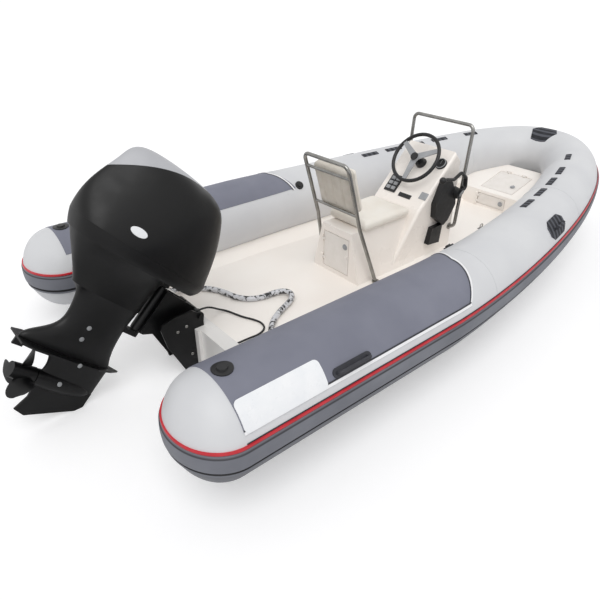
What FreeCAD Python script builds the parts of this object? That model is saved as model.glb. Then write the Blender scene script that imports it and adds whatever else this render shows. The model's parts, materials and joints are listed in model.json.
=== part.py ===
# Rigid inflatable boat afloat: two side tubes that meet at the bow, a V hull with a moulded deck,
# a jockey seat and steering console in one line, a bow locker, and an outboard engine tilted up.
# Frame: +X towards the bow, +Y to port, +Z up. The origin is amidships, on the waterline.
import FreeCAD
import Part
import Sketcher
import math
import os
import re
from FreeCAD import Placement, Rotation, Vector

DOC = FreeCAD.newDocument("InflatableRib")
SHEET = DOC.addObject("Spreadsheet::Sheet", "Sizes")

# Driving dimensions in millimetres and degrees
SIZES = [
    ("tubeRadius", 250, "side tube along its straight run"),
    ("noseRadius", 205, "tube at the nose"),
    ("tubeHalfSpacing", 906, "side tube centreline from the middle of the boat"),
    ("tubeHeight", 380, "side tube centre above the waterline"),
    ("sternSeam", 2070, "seam of the stern caps aft of amidships"),
    ("capLength", 205, "stern cap beyond its seam"),
    ("straightRun", 1349, "straight part of a side tube"),
    ("bowRun", 2809, "from the straight part to the nose centre"),
    ("sheerRise", 150, "nose centre above the side tube centre"),
    ("patchLength", 1555, "wear patch along the top of the starboard tube"),
    ("patchLengthPort", 1650, "wear patch along the top of the port tube"),
    ("patchLean", 41, "lean of the patch's forward edge outboard"),
    ("patchSlant", 28, "slant of the patch's forward edge inboard"),
    ("patchThick", 3, "wear patch"),
    ("patchOuterAngle", 26, "outer edge of the patch above the tube's side"),
    ("patchInnerAngle", 142, "inner edge of the patch round from the tube's side"),
    ("strakeTopAngle", 11, "top of the rubbing strake above the tube's side"),
    ("strakeLowAngle", 16, "bottom of the rubbing strake below the tube's side"),
    ("strakeProud", 13, "rubbing strake beyond the tube"),
    ("beadAngle", 3, "height of the bead on the strake, round the tube"),
    ("beadProud", 9, "bead beyond the tube"),
    ("padLength", 155, "step pad along the tube"),
    ("padWidth", 42, "step pad across the tube"),
    ("padAngle", 102, "step pad round from the tube's side"),
    ("padProud", 5, "step pad beyond the tube"),
    ("holdReach", 505, "lifting patch forward of amidships"),
    ("holdAngle", 38, "lifting patch above the tube's side"),
    ("holdLength", 250, "lifting patch along the tube"),
    ("holdWidth", 130, "lifting patch across the tube"),
    ("nosePadBack", 1925, "aft end of the nose pad forward of amidships"),
    ("nosePadFront", 2090, "front end of the nose pad forward of amidships"),
    ("nosePadHalf", 115, "half width of the nose pad"),
    ("gripReach", 1485, "side handle aft of amidships"),
    ("gripAngle", 33, "side handle above the tube's side"),
    ("gripLength", 230, "side handle's base"),
    ("gripWidth", 46, "side handle's base across"),
    ("gripRadius", 8, "handle's strap"),
    ("gripRise", 30, "handle's strap above its base"),
    ("valveReach", 2010, "aft valve aft of amidships"),
    ("valveFore", 250, "forward valve aft of amidships"),
    ("valveAngle", 136, "forward valve round from the tube's side"),
    ("valveRadius", 47, "valve flange"),
    ("valveCap", 27, "valve cap"),
    ("valveCapProud", 12, "valve cap beyond the tube"),
    ("transomBack", 1690, "back face of the transom aft of amidships"),
    ("transomThick", 90, "transom and its cap"),
    ("transomTop", 275, "transom top above the waterline"),
    ("enginePad", 20, "pad under the engine's bracket"),
    ("enginePadHalf", 150, "half width of the engine pad"),
    ("enginePadLow", 135, "engine pad below the waterline"),
    ("stemReach", 1975, "stem forward of amidships"),
    ("keelDepth", 240, "keel below the waterline at the transom"),
    ("keelRise", 560, "keel's climb to the stem head"),
    ("chineHalf", 640, "chine from the middle of the boat"),
    ("chineHeight", 60, "chine above the waterline at the transom"),
    ("chineRise", 270, "chine's climb to the stem"),
    ("hullJointAngle", 62, "outer hull joint below the tube's inner side"),
    ("deckJointAngle", 40, "deck joint below the tube's inner side"),
    ("soleHeight", 165, "cockpit sole above the waterline"),
    ("deckThick", 15, "deck moulding"),
    ("floorRise", 215, "inner floor's climb to the stem"),
    ("bowDeckBack", 1330, "aft face of the bow locker forward of amidships"),
    ("bowDeckFront", 1795, "front edge of the bow deck forward of amidships"),
    ("bowDeckLow", 310, "aft edge of the bow deck above the waterline"),
    ("bowDeckHigh", 424, "front edge of the bow deck above the waterline"),
    ("bowWall", 14, "walls of the bow locker"),
    ("seatBack", 530, "aft face of the seat box aft of amidships"),
    ("seatTop", 510, "seat box top above the waterline"),
    ("seatTopHalf", 140, "half width of the seat box at its top"),
    ("seatBaseHalf", 225, "half width of the seat box at the sole"),
    ("seatWall", 12, "walls of the seat box"),
    ("consoleFront", 470, "console front forward of amidships"),
    ("consoleTop", 890, "console top above the waterline"),
    ("consoleTopFront", 400, "front edge of the dash forward of amidships"),
    ("consoleShoulder", 820, "top of the console's front face above the waterline"),
    ("dashFoot", 50, "aft edge of the dash forward of amidships"),
    ("dashFootHeight", 545, "aft edge of the dash above the waterline"),
    ("consoleHeel", 220, "aft end of the console's foot aft of amidships"),
    ("consoleHalf", 215, "half width of the console"),
    ("consoleRound", 22, "rounding of the console's long edges"),
    ("cushionThick", 60, "seat cushion"),
    ("cushionHalf", 190, "half width of the seat cushion"),
    ("cushionRound", 24, "rounding of the seat cushion"),
    ("railRadius", 12.5, "stainless tube of the rails"),
    ("backrestTop", 997, "top of the backrest frame above the waterline"),
    ("backrestBack", 649, "top of the backrest frame aft of amidships"),
    ("backrestHalf", 200, "half width of the backrest frame"),
    ("backrestFoot", 400, "feet of the backrest frame aft of amidships"),
    ("backrestFootHalf", 262, "half spacing of the feet"),
    ("backrestBend", 45, "bend radius of the frame's corners"),
    ("hoopReach", 486, "console hoop forward of amidships"),
    ("hoopTop", 1067, "console hoop above the waterline"),
    ("hoopHalf", 259, "half width of the hoop"),
    ("wheelRadius", 177, "steering wheel, to the middle of its rim"),
    ("rimRadius", 13, "steering wheel rim"),
    ("tiltAxisBack", 1670, "tilt tube aft of amidships"),
    ("tiltAxisHeight", 340, "tilt tube above the waterline"),
    ("restTilt", 46, "engine's tilt at rest"),
    ("swivelSetback", 232, "steering axis aft of the tilt tube"),
    ("plateDrop", 485, "anti-ventilation plate below the tilt tube"),
    ("shaftDrop", 650, "propeller shaft below the tilt tube"),
    ("propRadius", 138, "propeller"),
    ("lidBack", 60, "aft edge of the bow lid from the deck's aft edge"),
    ("lidFront", 360, "front edge of the bow lid from the deck's aft edge"),
    ("lidHalf", 150, "half width of the bow lid"),
    ("lidLatchInset", 105, "latch from the bow lid's aft edge"),
    ("lidLatchSide", 88, "latches of the bow from the middle, to starboard"),
    ("bowDoorLow", 190, "bottom of the bow door above the waterline"),
    ("bowDoorHigh", 280, "top of the bow door above the waterline"),
    ("bowDoorHalf", 130, "half width of the bow door"),
    ("seatDoorLow", 200, "bottom of the seat door above the waterline"),
    ("seatDoorHigh", 455, "top of the seat door above the waterline"),
    ("seatDoorHalf", 118, "half width of the seat door"),
    ("seatLatchInset", 22, "latch from the seat door's edge"),
    ("panelThick", 8, "lids and doors"),
    ("panelGap", 5, "gap round a lid or door"),
    ("ledge", 12, "ledge behind a lid or door"),
    ("hingeRadius", 6, "hinge barrel"),
    ("hingeBarrel", 16, "length of one hinge barrel"),
    ("hingeGap", 0.5, "gap between hinge barrels"),
    ("latchRadius", 12, "push latch"),
    ("latchProud", 5, "push latch beyond its panel"),
    ("cushionInset", 80, "cushion's aft end from the box's aft face"),
    ("cushionGap", 40, "cushion's front end from the dash's aft edge"),
    ("backrestKnee", 560, "bend of the backrest legs above the waterline"),
    ("backrestLowBar", 658, "lower cross bar above the waterline"),
    ("backrestHighBar", 912, "upper cross bar above the waterline"),
    ("barRadius", 10, "cross bars of the backrest"),
    ("backPadThick", 90, "backrest pad"),
    ("backPadRound", 27, "rounding of the backrest pad"),
    ("backPadBeyond", 30, "backrest pad beyond the bars"),
    ("backPadInset", 12, "backrest pad inside the legs"),
    ("hoopFoot", 430, "hoop feet forward of amidships"),
    ("hoopLow", 330, "hoop feet above the waterline"),
    ("hoopBend", 40, "bend radius of the hoop"),
    ("helmClimb", 340, "helm up the dash"),
    ("wheelLean", 52, "steering wheel's axis from upright"),
    ("helmRadius", 45, "helm boss"),
    ("helmStand", 40, "helm boss above the dash"),
    ("helmShaft", 9, "helm shaft"),
    ("wheelStand", 118, "wheel's plane from the dash along its axis"),
    ("wheelHub", 34, "steering wheel hub"),
    ("spokeWide", 30, "spoke at the rim"),
    ("spokeThick", 9, "spoke"),
    ("controlReach", 290, "foot of the remote control forward of amidships"),
    ("controlLow", 390, "foot of the remote control above the waterline"),
    ("controlTall", 335, "remote control housing"),
    ("controlDeep", 48, "remote control housing across"),
    ("controlHub", 44, "hub of the remote control's lever"),
    ("controlHubThick", 30, "hub beyond the housing"),
    ("leverRadius", 12, "remote control's lever"),
    ("leverKnob", 24, "knob of the lever"),
    ("panelStart", 64, "switch panel's low edge up the dash"),
    ("panelTall", 136, "switch panel up the dash"),
    ("panelSide", 61, "switch panel's inner edge from the middle, to port"),
    ("panelWide", 100, "switch panel across"),
    ("panelProud", 7, "switch panel beyond the dash"),
    ("gaugeClimb", 376, "gauge up the dash"),
    ("gaugeSide", 155, "gauge from the middle, to starboard"),
    ("gaugeRadius", 42, "gauge"),
    ("gaugeProud", 14, "gauge beyond the dash"),
    ("cleatReach", 919, "deck eye forward of amidships"),
    ("cleatSide", 197, "deck eye from the middle, to starboard"),
    ("cleatLength", 70, "deck eye's base"),
    ("cleatWire", 4, "deck eye's loop"),
    ("cheekInside", 100, "inside face of a clamp cheek from the middle"),
    ("cheekThick", 14, "clamp cheek"),
    ("cheekReach", 195, "clamp cheek aft of the engine pad"),
    ("cheekTop", 395, "clamp cheek's top above the waterline"),
    ("cheekLow", 130, "clamp cheek's foot below the waterline"),
    ("clampHook", 62, "clamp's hook over the transom's top"),
    ("tiltTube", 14, "tilt tube"),
    ("barrelWall", 14, "wall round the tilt tube"),
    ("yokeRadius", 28, "round end of a yoke"),
    ("swivelHalf", 90, "half width of the swivel bracket"),
    ("swivelDrop", 235, "steering post below the tilt tube"),
    ("swivelRise", 34, "steering post above the tilt tube"),
    ("postRadius", 31, "steering post"),
    ("swivelShaft", 16, "steering shaft"),
    ("webInside", 42, "inside face of a swivel web from the middle"),
    ("webThick", 12, "swivel web"),
    ("roofThick", 15, "web across the top of the swivel bracket"),
    ("ramPin", 8, "ram pins"),
    ("eyeWall", 8, "wall of a ram eye or of an eye plate"),
    ("ramEyeHalf", 20, "half width of a ram eye"),
    ("ramBaseBack", 1745, "ram's lower pin aft of amidships"),
    ("ramBaseHeight", -80, "ram's lower pin above the waterline"),
    ("ramEyeBack", 68, "ram's upper eye aft of the tilt tube"),
    ("ramEyeDrop", 45, "ram's upper eye below the tilt tube"),
    ("ramRadius", 22, "ram cylinder"),
    ("ramBody", 320, "ram cylinder's length"),
    ("ramRod", 9, "ram rod"),
    ("ramRodLength", 290, "ram rod's length"),
    ("legFront", 285, "front of the leg aft of the tilt tube"),
    ("legChord", 335, "leg fore and aft"),
    ("legHalf", 74, "half width of the leg at its top"),
    ("legTop", 145, "top of the leg below the tilt tube"),
    ("coreHalf", 48, "half width of the leg's core in the pan"),
    ("yokeGap", 6, "gap between the steering post and a yoke"),
    ("yokeThick", 30, "yoke of the leg"),
    ("caseNose", 250, "gearcase nose aft of the tilt tube"),
    ("caseTail", 575, "gearcase tail aft of the tilt tube"),
    ("caseRadius", 46, "gearcase"),
    ("strutFront", 235, "strut's front edge aft of the tilt tube"),
    ("strutHalf", 45, "half width of the strut under the plate"),
    ("plateHalf", 105, "half width of the anti-ventilation plate"),
    ("plateTip", 170, "plate's pointed tip aft of the tilt tube"),
    ("plateEnd", 765, "plate's end aft of the tilt tube"),
    ("plateThick", 9, "anti-ventilation plate"),
    ("tabDepth", 36, "trim tab below the plate"),
    ("tabLength", 52, "trim tab"),
    ("skegDrop", 206, "skeg below the propeller shaft"),
    ("skegThick", 12, "skeg"),
    ("propHub", 44, "propeller hub"),
    ("propLength", 119, "propeller hub's length"),
    ("propGap", 6, "gap between the gearcase and the propeller"),
    ("bladeThick", 10, "propeller blade at its root"),
    ("bladeCup", 7, "hollow of a blade's face"),
    ("cowlBase", 145, "bottom of the upper cowl above the tilt tube"),
    ("cowlTall", 440, "upper cowl"),
    ("cowlFront", 65, "front of the cowl aft of the tilt tube"),
    ("cowlLong", 840, "cowl fore and aft"),
    ("cowlHalf", 225, "half width of the cowl"),
    ("cowlWall", 8, "cowl's wall"),
    ("panRise", 75, "flat bottom of the pan above the tilt tube"),
    ("crestLow", 385, "low end of the silver crest above the tilt tube, on the aft face"),
    ("massFront", 250, "front of the engine's mass aft of the tilt tube"),
    ("massLong", 430, "engine's mass fore and aft"),
    ("massHalf", 130, "half width of the engine's mass"),
    ("massTall", 270, "engine's mass above the pan"),
    ("eyeBore", 10, "hole of an eye plate"),
    ("eyeStand", 26, "hole beyond the face that carries the eye"),
    ("eyeThick", 10, "eye plate"),
    ("sternEyeHalf", 470, "half spacing of the stern eyes"),
    ("sternEyeHeight", 200, "stern eyes above the waterline"),
    ("bowEyeReach", 1850, "bow eye forward of amidships"),
    ("bowEyeHeight", 170, "bow eye above the waterline"),
    ("hoseRadius", 18, "rigging hose"),
    ("cableRadius", 6, "control cable"),
    ("bootWall", 6, "rubber boot round a hose or cable"),
    ("bootLength", 42, "rubber boot"),
    ("runningGap", 0.05, "radial gap of a shaft in its bore"),
    ("seatGap", 0.3, "gap of a piece that lies on a curved or soft neighbour"),
    ("cutOverrun", 20, "cutting tools beyond what they cut"),
]

SHEET.set("A1", "size")
SHEET.set("B1", "value")
SHEET.set("C1", "what it is")
for row, (alias, value, note) in enumerate(SIZES, start=2):
    SHEET.set(f"A{row}", alias)
    SHEET.set(f"B{row}", str(value))
    SHEET.set(f"C{row}", note)
    SHEET.setAlias(f"B{row}", alias)
DOC.recompute()
size = {alias: float(SHEET.get(alias)) for alias, value, note in SIZES}

# Shape of the tube's bow curve, a superellipse in plan
FORE_SHARE = 1.521
SIDE_SHARE = 2.303

NODES = []


def feature(label, shape, place=None):
    """A named piece whose solid is made by a function."""
    piece = DOC.addObject("Part::Feature", label)
    piece.Label = label
    piece.Shape = shape
    if place is not None:
        piece.Placement = place.multiply(shape.Placement)
    NODES.append(piece)
    return piece


def cells(formula):
    """A formula in the sheet's names, as the document's expressions want it."""
    return re.sub(r"[a-z]+[A-Z]\w*", r"Sizes.\g<0>", formula)


def bound(kind, name, base=Vector(0, 0, 0), axis=Vector(0, 0, 1), **formulas):
    """A primitive whose sizes follow the sheet, standing at base along axis."""
    item = DOC.addObject(f"Part::{kind}", name)
    for key, formula in formulas.items():
        item.setExpression(key, cells(formula))
    item.Placement = Placement(base, Rotation(Vector(0, 0, 1), axis))
    return item


def fused(name, parts):
    whole = DOC.addObject("Part::MultiFuse", name)
    whole.Shapes = parts
    return whole


def bored(name, base, tools):
    """The base with its holes cut; this is the named piece."""
    tool = tools[0] if len(tools) == 1 else fused(f"{name}_holes", tools)
    piece = DOC.addObject("Part::Cut", name)
    piece.Base = base
    piece.Tool = tool
    return piece


def finished(piece, label, place=None):
    """Recompute a piece made of bound primitives and keep it as a node."""
    piece.Label = label
    if place is not None:
        piece.Placement = place
    DOC.recompute()
    NODES.append(piece)
    return piece


def signed(name):
    """The value of a size, or of its negative when the name starts with a minus."""
    return -size[name[1:]] if name.startswith("-") else size[name]


def profile_body(name, corners, half):
    """A body padded to both sides of the boat's middle plane from an outline of named sizes."""
    body = DOC.addObject("PartDesign::Body", name)
    sketch = body.newObject("Sketcher::SketchObject", f"{name}_outline")
    plane = next(item for item in body.Origin.OriginFeatures if item.Role == "XZ_Plane")
    sketch.AttachmentSupport = [(plane, "")]
    sketch.MapMode = "FlatFace"
    spots = [Vector(signed(x), signed(z), 0) for x, z in corners]
    for index, spot in enumerate(spots):
        sketch.addGeometry(Part.LineSegment(spot, spots[(index + 1) % len(spots)]))
    for index, (x, z) in enumerate(corners):
        sketch.addConstraint(Sketcher.Constraint("Coincident", index, 2, (index + 1) % len(corners), 1))
        for kind, formula in (("DistanceX", x), ("DistanceY", z)):
            number = sketch.addConstraint(Sketcher.Constraint(kind, -1, 1, index, 1, signed(formula)))
            sketch.setExpression(f"Constraints[{number}]", cells(formula))
    pad = body.newObject("PartDesign::Pad", f"{name}_pad")
    pad.Profile = sketch
    pad.Midplane = True
    pad.setExpression("Length", cells(f"2 * {half}"))
    DOC.recompute()
    return body, pad


def polygon(points):
    return Part.makePolygon(list(points) + [points[0]])


def prism(points, depth):
    """A closed outline pushed along a vector."""
    return Part.Face(polygon(points)).extrude(depth)


def mirrored(shape):
    """The same form on the other side of the boat."""
    return shape.mirror(Vector(0, 0, 0), Vector(0, 1, 0))


def block(low, high):
    """A box between two corners."""
    return Part.makeBox(high[0] - low[0], high[1] - low[1], high[2] - low[2], Vector(*low))


def rod(radius, start, end):
    return Part.makeCylinder(radius, (end - start).Length, start, end - start)


def biggest(shape):
    """The main solid of a cut, without slivers."""
    return max(shape.Solids, key=lambda part: part.Volume)


# An arc of a free cord is as large as its two runs allow
CORD_RUN_SHARE = 0.45


def bent_rail(points, radius, bend=None):
    """A round bar along straight runs joined by tangent arcs, all of one bend or as large as they fit."""
    edges = []
    start = points[0]
    for before, corner, after in zip(points, points[1:], points[2:]):
        into = (corner - before).normalize()
        out = (after - corner).normalize()
        turn = into.getAngle(out)
        shorter = min((corner - before).Length, (after - corner).Length)
        cut = CORD_RUN_SHARE * shorter if bend is None else bend * math.tan(turn / 2)
        arc = cut / math.tan(turn / 2)
        inside = (out - into).normalize()
        middle = corner + inside * (arc / math.cos(turn / 2) - arc)
        edges.append(Part.LineSegment(start, corner - into * cut).toShape())
        edges.append(Part.Arc(corner - into * cut, middle, corner + out * cut).toShape())
        start = corner + out * cut
        if bend is None:
            print("cord arc", round(arc), "of a cord", round(2 * radius))
    edges.append(Part.LineSegment(start, points[-1]).toShape())
    path = Part.Wire(edges)
    first = (points[1] - points[0]).normalize()
    section = Part.Wire(Part.makeCircle(radius, points[0], first))
    return path.makePipeShell([section], True, False)


# Side tubes

def tube_at_angle(angle):
    """Centre, forward direction and radius of the port tube on the bow curve, 0 to 90 degrees."""
    def centre(degrees):
        turn = math.radians(degrees)
        share = math.sin(turn) ** (2 / FORE_SHARE)
        along = -size["sternSeam"] + size["straightRun"] + size["bowRun"] * share
        side = size["tubeHalfSpacing"] * math.cos(turn) ** (2 / SIDE_SHARE)
        rise = size["tubeHeight"] + size["sheerRise"] * share * share
        return Vector(along, side, rise), share
    here, share = centre(angle)
    nudge_share = 0.01
    behind = centre(max(angle - nudge_share, 0))[0]
    ahead = centre(min(angle + nudge_share, 90 - nudge_share / 10))[0]
    along = (ahead - behind).normalize()
    if angle >= 90:
        along = Vector(0, -1, 0)
    if angle <= 0:
        along = Vector(1, 0, 0)
    return here, along, size["tubeRadius"] - (size["tubeRadius"] - size["noseRadius"]) * share


def tube_at(reach):
    """Centre side, centre height and radius of the port tube at a distance forward of amidships."""
    share = (reach + size["sternSeam"] - size["straightRun"]) / size["bowRun"]
    share = min(max(share, 0), 1)
    sine = share ** (FORE_SHARE / 2)
    cosine = math.sqrt(1 - sine * sine)
    side = size["tubeHalfSpacing"] * cosine ** (2 / SIDE_SHARE)
    radius = size["tubeRadius"] - (size["tubeRadius"] - size["noseRadius"]) * share
    return side, size["tubeHeight"] + size["sheerRise"] * share * share, radius


def across(along):
    """Placement axes of a section: outboard, up and along the tube."""
    out = along.cross(Vector(0, 0, 1)) * -1
    out.normalize()
    lift = out.cross(along) * -1
    return out, lift.normalize()


def section_place(centre, along):
    out, lift = across(along)
    return Placement(centre, Rotation(out, lift, along, "ZXY"))


def ring(centre, along, radius):
    circle = Part.Wire(Part.makeCircle(radius))
    circle.Placement = section_place(centre, along)
    return circle


CHAMBER_ANGLE = 58
SIDE_ANGLES = [0, 12, 24, 35, 47, CHAMBER_ANGLE]
NOSE_ANGLES = [CHAMBER_ANGLE, 68, 77, 84, 90]


def side_tube(grow):
    """The port tube, or a skin's outer form that is fatter by grow."""
    straight = Part.makeCylinder(
        size["tubeRadius"] + grow, size["straightRun"],
        Vector(-size["sternSeam"], size["tubeHalfSpacing"], size["tubeHeight"]), Vector(1, 0, 0))
    rings = []
    for angle in SIDE_ANGLES:
        centre, along, radius = tube_at_angle(angle)
        rings.append(ring(centre, along, radius + grow))
    return straight.fuse(Part.makeLoft(rings, True, False))


def flipped(point):
    return Vector(point.x, -point.y, point.z)


def nose_stations():
    """Centre, direction and radius of the rings from the port chamber to the starboard one."""
    stations = [tube_at_angle(angle) for angle in NOSE_ANGLES]
    for centre, along, radius in reversed(stations[:-1]):
        stations.append((flipped(centre), flipped(along) * -1, radius))
    return stations


def nose_tube(grow):
    rings = [ring(centre, along, radius + grow) for centre, along, radius in nose_stations()]
    return Part.makeLoft(rings, True, False)


def stern_cap():
    """Half a sphere stretched along the tube."""
    dome = Part.makeSphere(size["tubeRadius"], Vector(0, 0, 0), Vector(-1, 0, 0), 0, 90)
    stretch = FreeCAD.Matrix()
    stretch.scale(size["capLength"] / size["tubeRadius"], 1, 1)
    dome = dome.transformGeometry(stretch)
    dome.translate(Vector(-size["sternSeam"], size["tubeHalfSpacing"], size["tubeHeight"]))
    return dome


tube_port_shape = side_tube(0)
tube_nose_shape = nose_tube(0)
feature("tube_port", tube_port_shape)
feature("tube_starboard", mirrored(tube_port_shape))
feature("tube_bow", tube_nose_shape)
feature("stern_cap_port", stern_cap())
feature("stern_cap_starboard", mirrored(stern_cap()))
TUBES = Part.makeCompound([tube_port_shape, mirrored(tube_port_shape), tube_nose_shape])


# Wear patches, thin sheets glued over the top of the side tubes

def wear_patch(length):
    """The skin between the tube and a slightly fatter one, within a wedge whose end leans and slants."""
    reach = 2 * size["tubeRadius"]
    low = math.radians(size["patchOuterAngle"])
    high = math.radians(size["patchInnerAngle"])
    mid = (low + high) / 2
    fan = [Vector(0, 0, 0)]
    fan += [Vector(0, reach * math.cos(turn), reach * math.sin(turn)) for turn in (low, mid, high)]
    wedge = prism(fan, Vector(length + 2 * reach, 0, 0))
    lean = math.tan(math.radians(size["patchLean"]))
    slant = math.tan(math.radians(size["patchSlant"]))
    far = length + 3 * reach
    top = size["tubeRadius"]
    side = [Vector(length - lean * top, 0, 0), Vector(length + lean * top, 0, 2 * top),
            Vector(far, 0, 2 * top),
            Vector(far, 0, 0)]
    plan = [Vector(length, 0, -reach), Vector(length + slant * reach, -reach, -reach),
            Vector(far, -reach, -reach),
            Vector(far, 0, -reach)]
    wedge = wedge.cut(prism(side, Vector(0, reach, 0))).cut(prism(plan, Vector(0, 0, 3 * reach)))
    wedge.translate(Vector(-size["sternSeam"], size["tubeHalfSpacing"], size["tubeHeight"]))
    return biggest(side_tube(size["patchThick"]).common(wedge).cut(tube_port_shape))


port_patch_shape = wear_patch(size["patchLengthPort"])
other_patch_shape = wear_patch(size["patchLength"])
feature("wear_patch_port", port_patch_shape)
feature("wear_patch_starboard", mirrored(other_patch_shape))


# Rubbing strake and its bead, round the stern caps and along the tubes to the nose

# Shares of the strake's height from its top and of its thickness; the flat between the last two is the face
STRAKE_SHARES = [(1.00, 0.00), (0.97, 0.75), (0.86, 0.75), (0.83, 0.25), (0.76, 0.25), (0.72, 1.00),
                 (0.10, 1.00)]
BEAD_SHARES = [(1.00, 0.00), (0.90, 0.90), (0.75, 1.00), (0.20, 1.00)]


def strake_outline(radius, top, low, proud, shares):
    """Section in the tube's own plane: X outboard, Y up, with its back a seat gap off the tube."""
    def spot(angle, reach):
        turn = math.radians(angle)
        return Vector(reach * math.cos(turn), reach * math.sin(turn), 0)
    back = radius + size["seatGap"]
    face = radius + proud
    spots = [spot(top + (low - top) * down, back + (face - back) * out) for down, out in shares]
    inner = Part.Arc(spot(top, back), spot((top + low) / 2, back), spots[0]).toShape()
    edges = [inner] + [Part.makeLine(start, end) for start, end in zip(spots, spots[1:-1])]
    middle = top + (low - top) * (shares[-2][0] + shares[-1][0]) / 2
    edges.append(Part.Arc(spots[-2], spot(middle, face), spots[-1]).toShape())
    edges.append(Part.makeLine(spots[-1], spot(top, back)))
    return Part.Wire(edges)


def strake_loft(stations, top, low, proud, shares):
    """Along rings of a tube, which are given as centre, direction and radius."""
    wires = []
    for centre, along, radius in stations:
        wire = strake_outline(radius, top, low, proud, shares)
        wire.Placement = section_place(centre, along)
        wires.append(wire)
    return Part.makeLoft(wires, True, False)


def strake_side(top, low, proud, shares):
    """The port side: its bow curve, straight run, turn round the stern cap and return to the transom."""
    centre_back = Vector(-size["sternSeam"], size["tubeHalfSpacing"], size["tubeHeight"])
    curve = strake_loft([tube_at_angle(angle) for angle in SIDE_ANGLES], top, low, proud, shares)
    section = strake_outline(size["tubeRadius"], top, low, proud, shares)
    section.Placement = section_place(centre_back, Vector(1, 0, 0))
    run = Part.Face(section).extrude(Vector(size["straightRun"], 0, 0))
    turn = Part.Face(section).revolve(centre_back, Vector(0, 0, 1), 180)
    stretch = FreeCAD.Matrix()
    stretch.scale(size["capLength"] / size["tubeRadius"], 1, 1)
    turn.translate(centre_back * -1)
    turn = turn.transformGeometry(stretch)
    turn.translate(centre_back)
    inboard = Part.Face(section).extrude(Vector(size["sternSeam"] - size["transomBack"], 0, 0))
    inboard = inboard.mirror(centre_back, Vector(0, 1, 0))
    return [curve, run, turn, inboard]


def strake(top, low, proud, shares):
    nose = biggest(strake_loft(nose_stations(), top, low, proud, shares).cut(tube_nose_shape))
    side = strake_side(top, low, proud, shares)
    return nose.fuse(side + [mirrored(shape) for shape in side])


strake_top = size["strakeTopAngle"]
feature("rub_strake", strake(strake_top, -size["strakeLowAngle"], size["strakeProud"], STRAKE_SHARES))
feature("strake_bead", strake(strake_top + size["beadAngle"], strake_top, size["beadProud"], BEAD_SHARES))


# Patches, handles and valves on the tubes: skins cut from slightly fatter tubes

def fat_tubes(grow):
    return Part.makeCompound([side_tube(grow), nose_tube(grow)])


def tube_place(reach, angle):
    """On the port tube at a reach: X along the tube, Z outwards at an angle above the tube's side."""
    side, height, radius = tube_at(reach)
    nudge = size["tubeRadius"] / 100
    ahead = tube_at(reach + nudge)
    behind = tube_at(reach - nudge)
    along = Vector(2 * nudge, ahead[0] - behind[0], ahead[1] - behind[1]).normalize()
    out, lift = across(along)
    turn = math.radians(angle)
    normal = out * math.cos(turn) + lift * math.sin(turn)
    return Placement(Vector(reach, side, height), Rotation(along, normal.cross(along), normal, "ZXY")), radius


def skin(outline, place, fat):
    """The part of a fatter tube outside the tube, within an outline pushed outwards from the centreline."""
    pushed = Part.Face(outline).extrude(Vector(0, 0, 2 * size["tubeRadius"]))
    pushed.Placement = place
    return biggest(fat.common(pushed).cut(TUBES))


def strap(length, base, place):
    """A handle's strap: up from its base, along and down again, its ends sunk to the base's middle."""
    half = length / 2
    top = base + size["gripRise"]
    points = [Vector(-half, 0, base), Vector(-half, 0, top), Vector(half, 0, top), Vector(half, 0, base)]
    form = bent_rail(points, size["gripRadius"], size["gripRise"] / 2)
    form.Placement = place
    return form


# Where a step pad lies along the bow run
PAD_SHARES = [0.454, 0.541, 0.627, 0.713, 0.821]
# Corners of a lifting patch as shares of half its length and half its width
HOLD_SHARES = [(-1, -0.45), (-0.62, -1), (0.62, -1), (1, -0.45), (1, 0.45), (0.62, 1), (-0.62, 1), (-1, 0.45)]
NOSE_SHARES = [(0, -0.6), (0.55, -1), (1, -0.62), (1, 0.62), (0.55, 1), (0, 0.6)]

fat_shape = fat_tubes(size["padProud"])


def step_pads():
    """A row of pads on top of each side tube towards the bow, and one across the nose."""
    half = size["padLength"] / 2
    wide = size["padWidth"] / 2
    outline = polygon([Vector(-half, -wide, 0), Vector(half, -wide, 0), Vector(half, wide, 0),
                       Vector(-half, wide, 0)])
    pads = []
    for share in PAD_SHARES:
        reach = size["straightRun"] - size["sternSeam"] + size["bowRun"] * share
        pads.append(skin(outline.copy(), tube_place(reach, size["padAngle"])[0], fat_shape))
    pads += [mirrored(pad) for pad in pads]
    long = size["nosePadFront"] - size["nosePadBack"]
    nose = polygon([Vector(size["nosePadBack"] + long * x, size["nosePadHalf"] * y, 0) for x,
                    y in NOSE_SHARES])
    over = Placement(Vector(0, 0, size["tubeHeight"] + size["sheerRise"]), Rotation())
    pads.append(skin(nose, over, Part.makeCompound([nose_tube(size["padProud"])])))
    return Part.makeCompound(pads)


def lifting_patches():
    """A patch with a strap handle low on the outside of each bow curve."""
    outline = polygon([Vector(size["holdLength"] / 2 * x, size["holdWidth"] / 2 * y, 0) for x,
                       y in HOLD_SHARES])
    place, radius = tube_place(size["holdReach"], size["holdAngle"])
    patch = skin(outline, place, fat_shape)
    handle = strap(size["holdLength"] / 2, radius + size["padProud"] / 2, place).cut(tube_port_shape)
    whole = patch.fuse(handle)
    return Part.makeCompound([whole, mirrored(whole)])


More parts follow.
